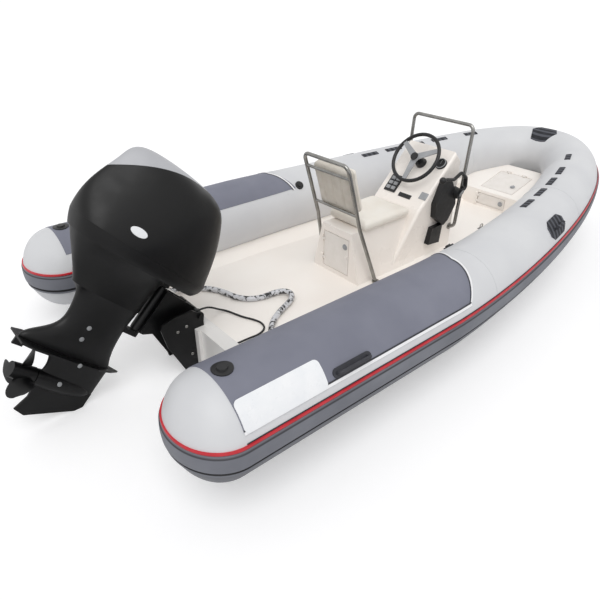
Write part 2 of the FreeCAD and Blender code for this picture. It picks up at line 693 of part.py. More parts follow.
def side_handles():
    """A moulded strap handle on each wear patch."""
    place, radius = tube_place(-size["gripReach"], size["gripAngle"])
    end = size["gripWidth"] / 2
    half = size["gripLength"] / 2 - end
    edges = [Part.makeLine(Vector(-half, -end, 0), Vector(half, -end, 0)),
             Part.Arc(Vector(half, -end, 0), Vector(half + end, 0, 0), Vector(half, end, 0)).toShape(),
             Part.makeLine(Vector(half, end, 0), Vector(-half, end, 0)),
             Part.Arc(Vector(-half, end, 0), Vector(-half - end, 0, 0), Vector(-half, -end, 0)).toShape()]
    grow = size["patchThick"] + size["padProud"]
    base = skin(Part.Wire(edges), place, side_tube(grow)).cut(port_patch_shape)
    handle = strap(2 * half, radius + grow - size["padProud"] / 2, place).cut(port_patch_shape)
    whole = base.fuse(handle)
    return Part.makeCompound([whole, mirrored(whole)])


def tube_valves():
    """Air valves: a round flange with a raised cap, one aft on each patch and one inboard further forward."""
    valves = []
    outer = fat_tubes(size["padProud"] + size["patchThick"])
    for reach, angle, share in ((-size["valveReach"], 90, 1), (-size["valveFore"], size["valveAngle"], 0.7)):
        place, radius = tube_place(reach, angle)
        flange = skin(Part.Wire(Part.makeCircle(size["valveRadius"] * share)), place, outer)
        cap_radius = size["valveCap"] * share
        cap = Part.makeCone(cap_radius, cap_radius * 0.85, size["valveCapProud"],
                            Vector(0, 0, radius + size["patchThick"]))
        cap.Placement = place
        whole = flange.fuse(cap).cut(port_patch_shape).cut(tube_port_shape)
        valves += [whole, mirrored(whole)]
    return Part.makeCompound(valves)


feature("step_pads", step_pads())
feature("lifting_patches", lifting_patches())
feature("side_handles", side_handles())
feature("tube_valves", tube_valves())


# Hull: a lofted V bottom whose flange cradles the tubes, round a tray for the deck moulding

# Shares of the hull's length where a section is drawn
STATION_SHARES = [0, 0.2, 0.4, 0.55, 0.68, 0.79, 0.88, 0.95, 1]
FLANGE_SHARE = 0.55
KEEL_START_SHARE = 0.45
STEM_WIDTH_SHARE = 0.06


TRANSOM_FACE = -size["transomBack"] + size["transomThick"]


def hull_reach(station):
    return TRANSOM_FACE + (size["stemReach"] - TRANSOM_FACE) * station


def on_tube(reach, angle, share):
    """A point on the port tube's section, at an angle below its inner side."""
    side, height, radius = tube_at(reach)
    turn = math.radians(angle)
    return (side - radius * share * math.cos(turn), height - radius * share * math.sin(turn))


def hull_section(station):
    reach = hull_reach(station)
    keel = max(station - KEEL_START_SHARE, 0) / (1 - KEEL_START_SHARE)
    bottom = -size["keelDepth"] + size["keelRise"] * keel ** 4
    chine_side = size["chineHalf"] * (STEM_WIDTH_SHARE + (1 - STEM_WIDTH_SHARE) * (1 - station ** 5) ** 0.8)
    chine_height = size["chineHeight"] + size["chineRise"] * station ** 4.2
    half = [(chine_side, chine_height), on_tube(reach, size["hullJointAngle"], FLANGE_SHARE),
            on_tube(reach, size["deckJointAngle"], FLANGE_SHARE), on_tube(reach, size["deckJointAngle"], 1)]
    outline = [Vector(reach, 0, bottom)]
    outline += [Vector(reach, y, z) for y, z in half]
    outline += [Vector(reach, -y, z) for y, z in reversed(half)]
    return polygon(outline)


# Each section of the tray: shares of the way from the transom to the bow deck's front edge,
# of the floor's climb there and of the flat floor's width
TRAY_SHARES = [(0, 0, 0.84), (0.25, 0, 0.84), (0.5, 0, 0.84), (0.68, 0, 0.80), (0.87, 0, 0.62), (1, 1, 0.30)]


def tray(thick, front):
    """The cockpit's hollow, or with a thickness the hollow inside the deck moulding."""
    wires = []
    for way, climb, flat in TRAY_SHARES:
        reach = TRANSOM_FACE + way * (size["bowDeckFront"] - TRANSOM_FACE)
        lip, joint = on_tube(reach, size["deckJointAngle"], 1)
        deep = on_tube(reach, size["deckJointAngle"], FLANGE_SHARE)[0]
        floor = size["soleHeight"] - size["deckThick"] + size["floorRise"] * climb + thick
        half = [(deep, size["bowDeckHigh"]), (deep, joint - size["deckThick"] + thick),
                (lip, joint - size["deckThick"] + thick), (lip * flat, floor)]
        station = reach + front * way ** 8
        outline = [Vector(station, y, z) for y, z in half]
        outline += [Vector(station, -y, z) for y, z in reversed(half)]
        wires.append(polygon(outline))
    return Part.makeLoft(wires, True, True)


hull_form = Part.makeLoft([hull_section(share) for share in STATION_SHARES], True, False)
deck_hollow = tray(size["deckThick"], 0)
deck_form = tray(0, size["deckThick"])
hull_shape = biggest(hull_form.cut(deck_form).cut(TUBES))
feature("hull_shell", hull_shape)
deck_shape = biggest(deck_form.cut(deck_hollow).cut(TUBES))
feature("deck_liner", deck_shape)


# Transom board across the stern between the tubes, with a pad where the engine's bracket bolts on

def transom_solid():
    back = -size["transomBack"]
    joint, lift = on_tube(back, size["hullJointAngle"], FLANGE_SHARE)
    half = [(size["chineHalf"], size["chineHeight"]), (joint, lift), (joint, size["transomTop"])]
    outline = [Vector(back, 0, -size["keelDepth"])]
    outline += [Vector(back, y, z) for y, z in half]
    outline += [Vector(back, -y, z) for y, z in reversed(half)]
    board = biggest(prism(outline, Vector(size["transomThick"], 0, 0)).cut(TUBES))
    pad = block((back - size["enginePad"], -size["enginePadHalf"], -size["enginePadLow"]),
                (back + size["enginePad"], size["enginePadHalf"], size["transomTop"]))
    return board.fuse(pad)


feature("transom_board", transom_solid())


# Hinges: barrels that belong to the panel stand between barrels that belong to its frame

def hinge_barrels(start, along, radius, barrel, gap, moving):
    """Three barrels in a row from start; the middle one moves, the outer two are fixed."""
    picks = [1] if moving else [0, 2]
    step = along * (barrel + gap)
    rods = [Part.makeCylinder(radius, barrel, start + step * pick, along) for pick in picks]
    return rods[0] if moving else rods[0].fuse(rods[1:])


# Bow locker: a hollow moulding with a lid in its top and a door in its aft face

BOW_SLOPE = math.degrees(math.atan2(size["bowDeckHigh"] - size["bowDeckLow"],
                                    size["bowDeckFront"] - size["bowDeckBack"]))
BOW_FRAME = Placement(Vector(size["bowDeckBack"], 0, size["bowDeckLow"]),
                      Rotation(Vector(0, 1, 0), -BOW_SLOPE))


def bow_block(grow, drop):
    """The locker's outer form, or with a wall's growth and drop the space under its deck."""
    back = size["bowDeckBack"] + grow
    front = size["stemReach"]
    side = tube_at(size["bowDeckBack"])[0]
    low = size["soleHeight"] - grow
    tall = block((back, -side, low), (front, side, 2 * size["bowDeckHigh"]))
    reach = 2 * (front - back)
    over = block((-reach, -2 * side, -drop), (reach, 2 * side, reach))
    over.Placement = BOW_FRAME
    return tall.cut(over)


def in_bow_frame(shape):
    shape.Placement = BOW_FRAME
    return shape


def bow_lid_box(grow, low, high):
    """A box round the lid in the sloping deck's own frame."""
    return in_bow_frame(block(
        (size["lidBack"] - grow, -size["lidHalf"] - grow, low), (size["lidFront"] + grow,
                                                                 size["lidHalf"] + grow, high)))


def bow_door_box(grow, back, front):
    return block((size["bowDeckBack"] + back, -size["bowDoorHalf"] - grow, size["bowDoorLow"] - grow),
                 (size["bowDeckBack"] + front, size["bowDoorHalf"] + grow, size["bowDoorHigh"] + grow))


LID_HINGE = Vector(size["lidFront"] + size["panelGap"] + size["hingeRadius"], 0,
                   size["hingeRadius"] + size["seatGap"])
DOOR_HINGE = Vector(size["bowDeckBack"] - size["hingeRadius"] - size["seatGap"],
                    size["bowDoorHalf"] + size["panelGap"] + size["hingeRadius"], 0)


def lid_hinges(moving):
    """Two hinges across the lid's front edge, with the leaf that joins the moving barrels to the lid."""
    parts = []
    for side in (-1, 1):
        middle = side * size["lidHalf"] / 2
        half = 1.5 * size["hingeBarrel"] + size["hingeGap"]
        parts.append(hinge_barrels(LID_HINGE + Vector(0, middle - half, 0), Vector(0, 1, 0),
                                   size["hingeRadius"], size["hingeBarrel"], size["hingeGap"], moving))
        reach = size["hingeBarrel"] / 2
        leaf_low = size["seatGap"]
        leaf_high = LID_HINGE.z + size["hingeRadius"] / 2
        if moving:
            parts.append(block((size["lidFront"] - 2 * size["hingeRadius"], middle - reach, 0),
                               (LID_HINGE.x, middle + reach, leaf_high)).cut(
                block((size["lidFront"], middle - reach, 0), (LID_HINGE.x, middle + reach, leaf_low))))
        else:
            for offset in (-1, 1):
                centre = middle + offset * (size["hingeBarrel"] + size["hingeGap"])
                parts.append(block((LID_HINGE.x, centre - reach, 0),
                                   (LID_HINGE.x + 3 * size["hingeRadius"], centre + reach, LID_HINGE.z)))
    return parts[0].fuse(parts[1:])


def upright_hinges(edge, low, high, moving, panel):
    """Two hinges up a door's edge, whose face looks aft."""
    parts = []
    radius = size["hingeRadius"]
    barrel = size["hingeBarrel"]
    for share in (0.22, 0.78):
        middle = low + (high - low) * share
        half = 1.5 * barrel + size["hingeGap"]
        parts.append(hinge_barrels(Vector(edge.x, edge.y, middle - half), Vector(0, 0, 1),
                                   radius, barrel, size["hingeGap"], moving))
        face = edge.x + radius + size["seatGap"]
        back = edge.x - radius / 2
        if moving:
            tongue = [(face, panel - 2 * radius), (back, panel - 2 * radius), (back, edge.y),
                      (edge.x, edge.y),
                      (edge.x, panel), (face, panel)]
            parts.append(prism([Vector(x, y, middle - barrel / 2) for x, y in tongue], Vector(0, 0, barrel)))
        else:
            for offset in (-1, 1):
                centre = middle + offset * (barrel + size["hingeGap"])
                parts.append(block((edge.x, edge.y, centre - barrel / 2),
                                   (face, edge.y + 3 * radius, centre + barrel / 2)))
    return parts[0].fuse(parts[1:])


def bow_locker():
    wall = size["bowWall"]
    shell = bow_block(0, 0).cut(bow_block(wall, wall)).cut(TUBES)
    shell = biggest(shell.cut(hull_shape).cut(deck_shape))
    seat = size["panelThick"] + size["seatGap"]
    shell = shell.cut(bow_lid_box(size["panelGap"], -seat, size["cutOverrun"]))
    shell = shell.cut(bow_lid_box(-size["ledge"], -2 * wall, size["cutOverrun"]))
    shell = shell.cut(bow_door_box(size["panelGap"], -size["cutOverrun"], seat))
    shell = shell.cut(bow_door_box(-size["ledge"], -size["cutOverrun"], 2 * wall))
    door_hinges = upright_hinges(DOOR_HINGE, size["bowDoorLow"], size["bowDoorHigh"], False,
                                 size["bowDoorHalf"])
    return biggest(shell).fuse([in_bow_frame(lid_hinges(False)), door_hinges])


def bow_lid():
    thick = size["panelThick"]
    lid = block((size["lidBack"], -size["lidHalf"], -thick), (size["lidFront"], size["lidHalf"], 0))
    knob = Part.makeCylinder(size["latchRadius"], size["latchProud"],
                             Vector(size["lidBack"] + size["lidLatchInset"], -size["lidLatchSide"], 0))
    return in_bow_frame(lid.fuse([lid_hinges(True), knob]))


def push_latch(face, side, height):
    """A round latch on a face that looks aft."""
    return Part.makeCylinder(size["latchRadius"], size["latchProud"], Vector(face, side, height),
                             Vector(-1, 0, 0))


def bow_door():
    thick = size["panelThick"]
    door = block((size["bowDeckBack"], -size["bowDoorHalf"], size["bowDoorLow"]),
                 (size["bowDeckBack"] + thick, size["bowDoorHalf"], size["bowDoorHigh"]))
    hinges = upright_hinges(DOOR_HINGE, size["bowDoorLow"], size["bowDoorHigh"], True, size["bowDoorHalf"])
    latch = push_latch(size["bowDeckBack"], -size["lidLatchSide"],
                       (size["bowDoorLow"] + size["bowDoorHigh"]) / 2)
    return door.fuse([hinges, latch])


feature("bow_locker", bow_locker())
feature("bow_lid", bow_lid())
feature("bow_door", bow_door())


# Console: a body padded from its side outline, with its long edges rounded

def console():
    corners = [("-consoleHeel", "soleHeight"), ("consoleFront", "soleHeight"),
               ("consoleFront", "consoleShoulder"),
               ("consoleTopFront", "consoleTop"), ("dashFoot", "dashFootHeight")]
    body, pad = profile_body("console", corners, "consoleHalf")
    fillet = body.newObject("PartDesign::Fillet", "console_round")
    names = []
    for number, edge in enumerate(pad.Shape.Edges, start=1):
        ends = [vertex.Point for vertex in edge.Vertexes]
        lengthwise = abs(ends[0].y - ends[1].y) < size["seatGap"]
        above = max(end.z for end in ends) > size["soleHeight"] + size["seatGap"]
        if lengthwise and above:
            names.append(f"Edge{number}")
    fillet.Base = (pad, names)
    fillet.setExpression("Radius", cells("consoleRound"))
    body.Tip = fillet
    return finished(body, "console")


console_piece = console()


# Seat box, open at its foot, with a door in its aft face

def seat_form(back, inset, low):
    """The tapering box from its aft face forward into the console."""
    high = size["seatTop"] - inset
    slope = (size["seatBaseHalf"] - size["seatTopHalf"]) / (size["seatTop"] - size["soleHeight"])
    top_half = size["seatTopHalf"] + slope * inset - inset
    low_half = size["seatBaseHalf"] - slope * (low - size["soleHeight"]) - inset
    face = [Vector(back, -low_half, low), Vector(back, low_half, low), Vector(back, top_half, high),
            Vector(back, -top_half, high)]
    return prism(face, Vector(size["dashFoot"] - back, 0, 0))


def seat_door_form(grow, back, front):
    low = size["seatDoorLow"] - grow
    high = size["seatDoorHigh"] + grow
    half = size["seatDoorHalf"] + grow
    return block((-size["seatBack"] + back, -half, low), (-size["seatBack"] + front, half, high))


SEAT_HINGE = Vector(-size["seatBack"] - size["hingeRadius"] - size["seatGap"],
                    size["seatDoorHalf"] + size["panelGap"] + size["hingeRadius"], 0)


def seat_box():
    wall = size["seatWall"]
    outer = seat_form(-size["seatBack"], 0, size["soleHeight"])
    inner = seat_form(-size["seatBack"] + wall, wall, size["soleHeight"])
    seat = size["panelThick"] + size["seatGap"]
    console_block = block((-size["consoleHeel"], -size["consoleHalf"], size["soleHeight"]),
                          (size["consoleFront"], size["consoleHalf"], size["consoleTop"]))
    heel = prism([Vector(-size["consoleHeel"], -size["consoleHalf"], size["soleHeight"]),
                  Vector(-size["consoleHeel"], -size["consoleHalf"], size["dashFootHeight"]),
                  Vector(size["dashFoot"], -size["consoleHalf"], size["dashFootHeight"])],
                 Vector(0, 2 * size["consoleHalf"], 0))
    shell = outer.cut(inner).cut(console_block.cut(heel))
    shell = biggest(shell.cut(console_piece.Shape))
    shell = shell.cut(seat_door_form(size["panelGap"], -size["cutOverrun"], seat))
    shell = shell.cut(seat_door_form(-size["ledge"], -size["cutOverrun"], 2 * wall))
    hinges = upright_hinges(SEAT_HINGE, size["seatDoorLow"], size["seatDoorHigh"], False,
                            size["seatDoorHalf"])
    return shell.fuse(hinges)


def seat_door():
    door = seat_door_form(0, 0, size["panelThick"])
    hinges = upright_hinges(SEAT_HINGE, size["seatDoorLow"], size["seatDoorHigh"], True, size["seatDoorHalf"])
    latch = push_latch(-size["seatBack"], size["seatLatchInset"] - size["seatDoorHalf"],
                       (size["seatDoorLow"] + size["seatDoorHigh"]) / 2)
    return door.fuse([hinges, latch])


feature("seat_box", seat_box())
feature("seat_door", seat_door())


# Seat cushion, backrest and rails

def soft_block(label, length, width, height, round_edge, place):
    """A rounded cushion from a box whose sides follow the sheet."""
    core = bound("Box", f"{label}_core", Length=length, Width=width, Height=height)
    DOC.recompute()
    piece = DOC.addObject("Part::Fillet", label)
    piece.Base = core
    piece.Edges = [(number, size[round_edge], size[round_edge]) for number in range(1,
                                                                                    len(core.Shape.Edges) + 1)]
    return finished(piece, label, place)


CUSHION_CORNER = Vector(size["cushionInset"] - size["seatBack"], -size["cushionHalf"],
                        size["seatTop"] + size["seatGap"])
soft_block("seat_cushion", "seatBack - cushionInset + dashFoot - cushionGap", "2 * cushionHalf",
           "cushionThick",
           "cushionRound", Placement(CUSHION_CORNER, Rotation()))


def backrest_point(height, half):
    """A point of the backrest frame, which leans aft in one plane."""
    foot = size["soleHeight"]
    share = (height - foot) / (size["backrestTop"] - foot)
    back = size["backrestFoot"] + (size["backrestBack"] - size["backrestFoot"]) * share
    return Vector(-back, half, height)


def backrest_frame():
    foot_height = size["soleHeight"] + size["railRadius"] / 2
    leg = [backrest_point(foot_height, -size["backrestFootHalf"]),
           backrest_point(size["backrestKnee"], -size["backrestHalf"]),
           backrest_point(size["backrestTop"], -size["backrestHalf"])]
    points = leg + [flipped(point) for point in reversed(leg)]
    frame = bent_rail(points, size["railRadius"], size["backrestBend"])
    feet = []
    for half in (-size["backrestFootHalf"], size["backrestFootHalf"]):
        spot = backrest_point(size["soleHeight"], half)
        feet.append(Part.makeCylinder(2 * size["railRadius"], size["railRadius"], spot))
    bars = []
    for height in (size["backrestLowBar"], size["backrestHighBar"]):
        start = backrest_point(height, -size["backrestHalf"])
        bars.append(Part.makeCylinder(size["barRadius"], 2 * size["backrestHalf"], start, Vector(0, 1, 0)))
    return frame.fuse(feet + bars)


BACK_LOW = backrest_point(size["backrestLowBar"], 0)
BACK_RISE = (backrest_point(size["backrestHighBar"], 0) - BACK_LOW).normalize()
BACK_OUT = Vector(BACK_RISE.z, 0, -BACK_RISE.x)
PAD_HALF = size["backrestHalf"] - size["railRadius"] - size["backPadInset"]
PAD_START = BACK_LOW + BACK_OUT * (size["barRadius"] + size["seatGap"]) - BACK_RISE * size["backPadBeyond"]

feature("backrest_frame", backrest_frame())
BACK_TALL = ("(backrestHighBar - backrestLowBar) * sqrt(1 + ((backrestBack - backrestFoot)"
             " / (backrestTop - soleHeight)) ^ 2) + 2 * backPadBeyond")
soft_block("backrest_pad", "backPadThick", "2 * (backrestHalf - railRadius - backPadInset)", BACK_TALL,
           "backPadRound",
           Placement(PAD_START - Vector(0, PAD_HALF, 0), Rotation(BACK_OUT, Vector(0, 1, 0), BACK_RISE,
                                                                  "ZXY")))


def hoop_rail():
    """The console hoop: legs outside the console, with feet turned in to its sides."""
    inset = size["consoleHalf"]
    leg = [Vector(size["hoopFoot"], -inset, size["hoopLow"]),
           Vector(size["hoopFoot"], -size["hoopHalf"], size["hoopLow"]),
           Vector(size["hoopReach"], -size["hoopHalf"], size["hoopTop"])]
    points = leg + [flipped(point) for point in reversed(leg)]
    flanges = []
    for side in (-1, 1):
        flanges.append(Part.makeCylinder(2 * size["railRadius"], size["railRadius"] / 2,
                                         Vector(size["hoopFoot"], side * inset,
                                                size["hoopLow"]), Vector(0, side, 0)))
    return bent_rail(points, size["railRadius"], size["hoopBend"]).fuse(flanges)


feature("hoop_rail", hoop_rail())


# Helm on the dash and the wheel that turns on its shaft

DASH_LEAN = math.atan2(size["consoleTop"] - size["dashFootHeight"],
                       size["consoleTopFront"] - size["dashFoot"])
DASH_OUT = Vector(-math.sin(DASH_LEAN), 0, math.cos(DASH_LEAN))
DASH_UP = Vector(math.cos(DASH_LEAN), 0, math.sin(DASH_LEAN))
DASH_START = Vector(size["dashFoot"], 0, size["dashFootHeight"])
HELM_BASE = DASH_START + DASH_UP * size["helmClimb"]
WHEEL_AXIS = Vector(-math.sin(math.radians(size["wheelLean"])), 0, math.cos(math.radians(size["wheelLean"])))
WHEEL_CENTRE = HELM_BASE + WHEEL_AXIS * size["wheelStand"]
DASH_TURN = Rotation(DASH_UP, Vector(0, 1, 0), DASH_OUT, "ZXY")
SPOKE_TURNS = (0, 120, 240)


def helm():
    """A tapering boss sunk in the dash and the shaft that carries the wheel."""
    boss = bound("Cone", "helm_boss", HELM_BASE - WHEEL_AXIS * size["cutOverrun"], WHEEL_AXIS,
                 Radius1="helmRadius", Radius2="helmRadius * 7 / 10", Height="helmStand + cutOverrun")
    shaft = bound("Cylinder", "helm_shaft", HELM_BASE, WHEEL_AXIS, Radius="helmShaft", Height="wheelStand")
    return finished(bored("helm", fused("helm_whole", [boss, shaft]), [console_piece]), "helm")


def steering_wheel():
    """A rim on three tapering spokes, bored for the helm's shaft; drawn flat and then placed."""
    rim = bound("Torus", "wheel_rim", Radius1="wheelRadius", Radius2="rimRadius")
    hub = bound("Cone", "wheel_hub", Radius1="wheelHub", Radius2="wheelHub * 8 / 10", Height="2 * rimRadius")
    spokes = []
    for turn in SPOKE_TURNS:
        spoke = bound("Wedge", f"wheel_spoke_{turn}", Xmin="-wheelHub * 7 / 10", Xmax="wheelHub * 7 / 10",
                      X2min="-spokeWide / 2", X2max="spokeWide / 2", Ymin="helmShaft * 2", Ymax="wheelRadius",
                      Zmin="0", Zmax="spokeThick", Z2min="0", Z2max="spokeThick")
        spoke.Placement = Placement(Vector(0, 0, 0), Rotation(Vector(0, 0, 1), turn + 90))
        spokes.append(spoke)
    bore = bound("Cylinder", "wheel_bore", Vector(0, 0, -size["cutOverrun"]), Radius="helmShaft + runningGap",
                 Height="2 * wheelStand")
    place = Placement(WHEEL_CENTRE - WHEEL_AXIS * 2 * size["rimRadius"],
                      Rotation(WHEEL_AXIS.cross(Vector(0, 1, 0)) * -1, Vector(0, 1, 0), WHEEL_AXIS, "ZXY"))
    return finished(bored("steering_wheel", fused("wheel_whole", [rim, hub] + spokes), [bore]),
                    "steering_wheel", place)


helm_piece = helm()
steering_wheel()


# Switch panel and gauge on the dash, remote control on the console's side, deck eye on the sole

def switch_panel():
    spot = DASH_START + DASH_UP * size["panelStart"] + DASH_OUT * size["seatGap"] + Vector(0,
                                                                                           size["panelSide"], 0)
    plate = bound("Box", "panel_plate", Length="panelTall", Width="panelWide", Height="panelProud")
    return finished(plate, "switch_panel", Placement(spot, DASH_TURN))


def dash_gauge():
    spot = DASH_START + DASH_UP * size["gaugeClimb"] + DASH_OUT * size["seatGap"] - Vector(0,
                                                                                           size["gaugeSide"], 0)
    bezel = bound("Cone", "gauge_bezel", Radius1="gaugeRadius", Radius2="gaugeRadius * 9 / 10",
                  Height="gaugeProud")
    dish = bound("Cone", "gauge_dish", Radius1="gaugeRadius * 7 / 10", Radius2="gaugeRadius * 8 / 10",
                 Height="gaugeProud")
    dish.Placement = Placement(Vector(0, 0, size["gaugeProud"] / 2), Rotation())
    return finished(bored("dash_gauge", bezel, [dish]), "dash_gauge", Placement(spot, DASH_TURN))


# Side outline of the remote control: shares of its height along X and Z from its foot
CONTROL_SHARES = [(-0.01, 0.00), (0.135, 0.09), (0.33, 0.40), (0.30, 0.62), (0.12, 0.95), (-0.14, 1.00),
                  (-0.34, 0.53),
                  (-0.31, 0.235)]
HUB_SHARE = (0.30, 0.66)
LEVER_SHARES = [(0.50, 0.76), (0.47, 0.98), (0.27, 1.13), (0.04, 1.03), (-0.20, 1.08), (-0.34, 1.09)]
FOOT_SHARES = [(-0.42, -0.36), (-0.04, -0.40), (0.0, 0.01), (-0.33, 0.0)]


def throttle():
    """The remote control: leaning housing, round hub, hooked lever with its knob, and a cable box below."""
    face = -size["consoleHalf"] - size["seatGap"]
    tall = size["controlTall"]

    def spot(share, out):
        return Vector(size["controlReach"] + tall * share[0], face - out,
                      size["controlLow"] + tall * share[1])

    deep = size["controlDeep"]
    housing = prism([spot(share, 0) for share in CONTROL_SHARES], Vector(0, -deep, 0))
    upright = [edge for edge in housing.Edges if abs(edge.Vertexes[0].Y - edge.Vertexes[1].Y) > deep / 2]
    housing = housing.makeFillet(size["leverRadius"], upright)
    hub = Part.makeCone(size["controlHub"], size["controlHub"] * 0.8, deep / 2 + size["controlHubThick"],
                        spot(HUB_SHARE, deep / 2), Vector(0, -1, 0))
    lever_out = deep + size["controlHubThick"] - size["leverRadius"] / 2
    points = [spot(share, lever_out) for share in LEVER_SHARES]
    start = spot(HUB_SHARE, lever_out)
    lever = bent_rail([start] + points, size["leverRadius"], 2 * size["leverRadius"])
    knob = Part.makeSphere(size["leverKnob"], points[-1])
    foot = prism([spot(share, 0) for share in FOOT_SHARES], Vector(0, -deep * 0.8, 0))
    return housing.fuse([hub, lever, knob, foot])


def deck_eye():
    """A flat base with a wire loop."""
    half = size["cleatLength"] / 2
    spot = Vector(size["cleatReach"], -size["cleatSide"], size["soleHeight"])
    base = block((-half, -half / 3, 0), (half, half / 3, size["cleatWire"]))
    low = size["cleatWire"] / 2
    wire = [Vector(-half / 2, 0, low), Vector(-half / 2, 0, half), Vector(half / 2, 0, half),
            Vector(half / 2, 0, low)]
    loop = bent_rail(wire, size["cleatWire"], half / 3)
    whole = base.fuse(loop)
    whole.translate(spot)
    return whole


switch_panel()
dash_gauge()
feature("throttle", throttle())
feature("deck_eye", deck_eye())


# Engine: everything below is drawn upright round the tilt tube, then turned up about it

TILT_AXIS = Vector(-size["tiltAxisBack"], 0, size["tiltAxisHeight"])
TILTED = Placement(TILT_AXIS, Rotation(Vector(0, 1, 0), size["restTilt"]))
RAM_BASE = Vector(-size["ramBaseBack"], 0, size["ramBaseHeight"])
RAM_EYE_LOCAL = Vector(-size["ramEyeBack"], 0, -size["ramEyeDrop"])
RAM_EYE = TILTED.multVec(RAM_EYE_LOCAL)
RAM_LINE = (RAM_EYE - RAM_BASE).normalize()
RAM_REACH = (RAM_EYE - RAM_BASE).Length

# Aft outline of a clamp cheek: shares of its reach aft of the pad, and of its height down from its top
CHEEK_SHARES = [(0.00, 0.00), (0.52, 0.00), (0.95, 0.04), (1.00, 0.10), (0.87, 0.33), (0.42, 0.70),
                (0.30, 0.90),
                (0.24, 0.97), (0.00, 1.00)]


def clamp_bracket():
    """Two cheeks on the engine pad, hooked over the transom, with the tilt tube and the ram's lower pin."""
    back = -size["transomBack"] - size["enginePad"] - size["seatGap"]
    deck = size["transomTop"] + size["seatGap"]
    tall = size["cheekTop"] + size["cheekLow"]
    hook = back + size["clampHook"]
    round_top = size["tiltTube"] + size["barrelWall"]
    front = [(back, deck), (hook, deck), (hook, deck + size["cheekThick"] * 2),
             (TILT_AXIS.x + round_top, TILT_AXIS.z)]
    aft = [(back - size["cheekReach"] * out, size["cheekTop"] - tall * down) for out, down in CHEEK_SHARES]
    parts = []
    for side in (-1, 1):
        start = side * size["cheekInside"]
        cheek = prism([Vector(x, start, z) for x, z in front + aft], Vector(0, side * size["cheekThick"], 0))
        boss = Part.makeCylinder(round_top, size["cheekThick"], TILT_AXIS + Vector(0, start, 0),
                                 Vector(0, side, 0))
        parts.append(cheek.fuse(boss))
    width = size["cheekInside"] + size["cheekThick"] + size["tiltTube"]
    tube = Part.makeCylinder(size["tiltTube"], 2 * width, TILT_AXIS - Vector(0, width, 0), Vector(0, 1, 0))
    pin = Part.makeCylinder(size["ramPin"], 2 * size["cheekInside"],
                            RAM_BASE - Vector(0, size["cheekInside"], 0),
                            Vector(0, 1, 0))
    return tube.fuse(parts + [pin])


feature("clamp_bracket", clamp_bracket())

# Outline of a swivel web: shares of the setback aft and of the drop below the tilt tube
WEB_SHARES = [(0.08, -0.05), (0.00, 0.11), (-1.00, 0.13), (-1.00, -1.00), (-0.90, -1.00), (-0.34, -0.73),
              (-0.22, -0.55),
              (-0.22, -0.22)]


def swivel_bracket():
    """A barrel on the tilt tube and the steering post, joined by two webs and a roof."""
    barrel_radius = size["tiltTube"] + size["barrelWall"]
    half = size["swivelHalf"]
    barrel = Part.makeCylinder(barrel_radius, 2 * half, Vector(0, -half, 0), Vector(0, 1, 0))
    post = Part.makeCylinder(size["postRadius"], size["swivelDrop"] + size["swivelRise"],
                             Vector(-size["swivelSetback"], 0, -size["swivelDrop"]))
    parts = [post]
    for side in (-1, 1):
        start = side * size["webInside"]
        outline = [Vector(size["swivelSetback"] * a, start, size["swivelDrop"] * b) for a, b in WEB_SHARES]
        parts.append(prism(outline, Vector(0, side * size["webThick"], 0)))
    parts.append(block((-size["swivelSetback"], -size["webInside"],
                        size["swivelRise"] - 2 * size["roofThick"]),
                       (-barrel_radius / 2, size["webInside"], size["swivelRise"] - size["roofThick"])))
    body = barrel.fuse(parts)
    tube = Part.makeCylinder(size["tiltTube"] + size["runningGap"], 4 * half, Vector(0, -2 * half, 0),
                             Vector(0, 1, 0))
    shaft = Part.makeCylinder(size["swivelShaft"] + size["runningGap"], 3 * size["swivelDrop"],
                              Vector(-size["swivelSetback"], 0, -2 * size["swivelDrop"]))
    return body.cut(tube).cut(shaft)


feature("swivel_bracket", swivel_bracket(), TILTED)


def ram_place(distance):
    turn = Rotation(Vector(0, 1, 0).cross(RAM_LINE), Vector(0, 1, 0), RAM_LINE, "ZXY")
    return Placement(RAM_BASE + RAM_LINE * distance, turn)


def ram_eye(name, pin):
    """An eye across the ram's axis and the hole through it."""
    low = Vector(0, -size["ramEyeHalf"], 0)
    outer = bound("Cylinder", f"{name}_eye", low, Vector(0, 1, 0), Radius="ramPin + eyeWall",
                  Height="2 * ramEyeHalf")
    hole = bound("Cylinder", f"{name}_pin_hole", low * 2, Vector(0, 1, 0), Radius=pin,
                 Height="4 * ramEyeHalf")
    return outer, hole


def ram_cylinder():
    eye, hole = ram_eye("cylinder", "ramPin + runningGap")
    barrel = bound("Cylinder", "cylinder_barrel", Vector(0, 0, size["ramPin"] + size["eyeWall"] / 2),
                   Radius="ramRadius", Height="ramBody")
    bore = bound("Cylinder", "cylinder_bore", Vector(0, 0, size["ramPin"] + size["eyeWall"]),
                 Radius="ramRod + runningGap", Height="2 * ramBody")
    whole = fused("cylinder_whole", [eye, barrel])
    return finished(bored("ram_cylinder", whole, [hole, bore]), "ram_cylinder", ram_place(0))


def ram_rod():
    eye, hole = ram_eye("rod", "ramPin")
    bar = bound("Cylinder", "rod_bar", Vector(0, 0, -size["ramRodLength"]), Radius="ramRod",
                Height="ramRodLength")
    return finished(bored("ram_rod", fused("rod_whole", [eye, bar]), [hole]), "ram_rod", ram_place(RAM_REACH))


ram_cylinder()
ram_rod()

# How square the level sections of the engine are: 2 is an ellipse
COWL_SQUARE_SHARE = 2.7
LEG_SQUARE_SHARE = 2.2
RING_POINTS = 28


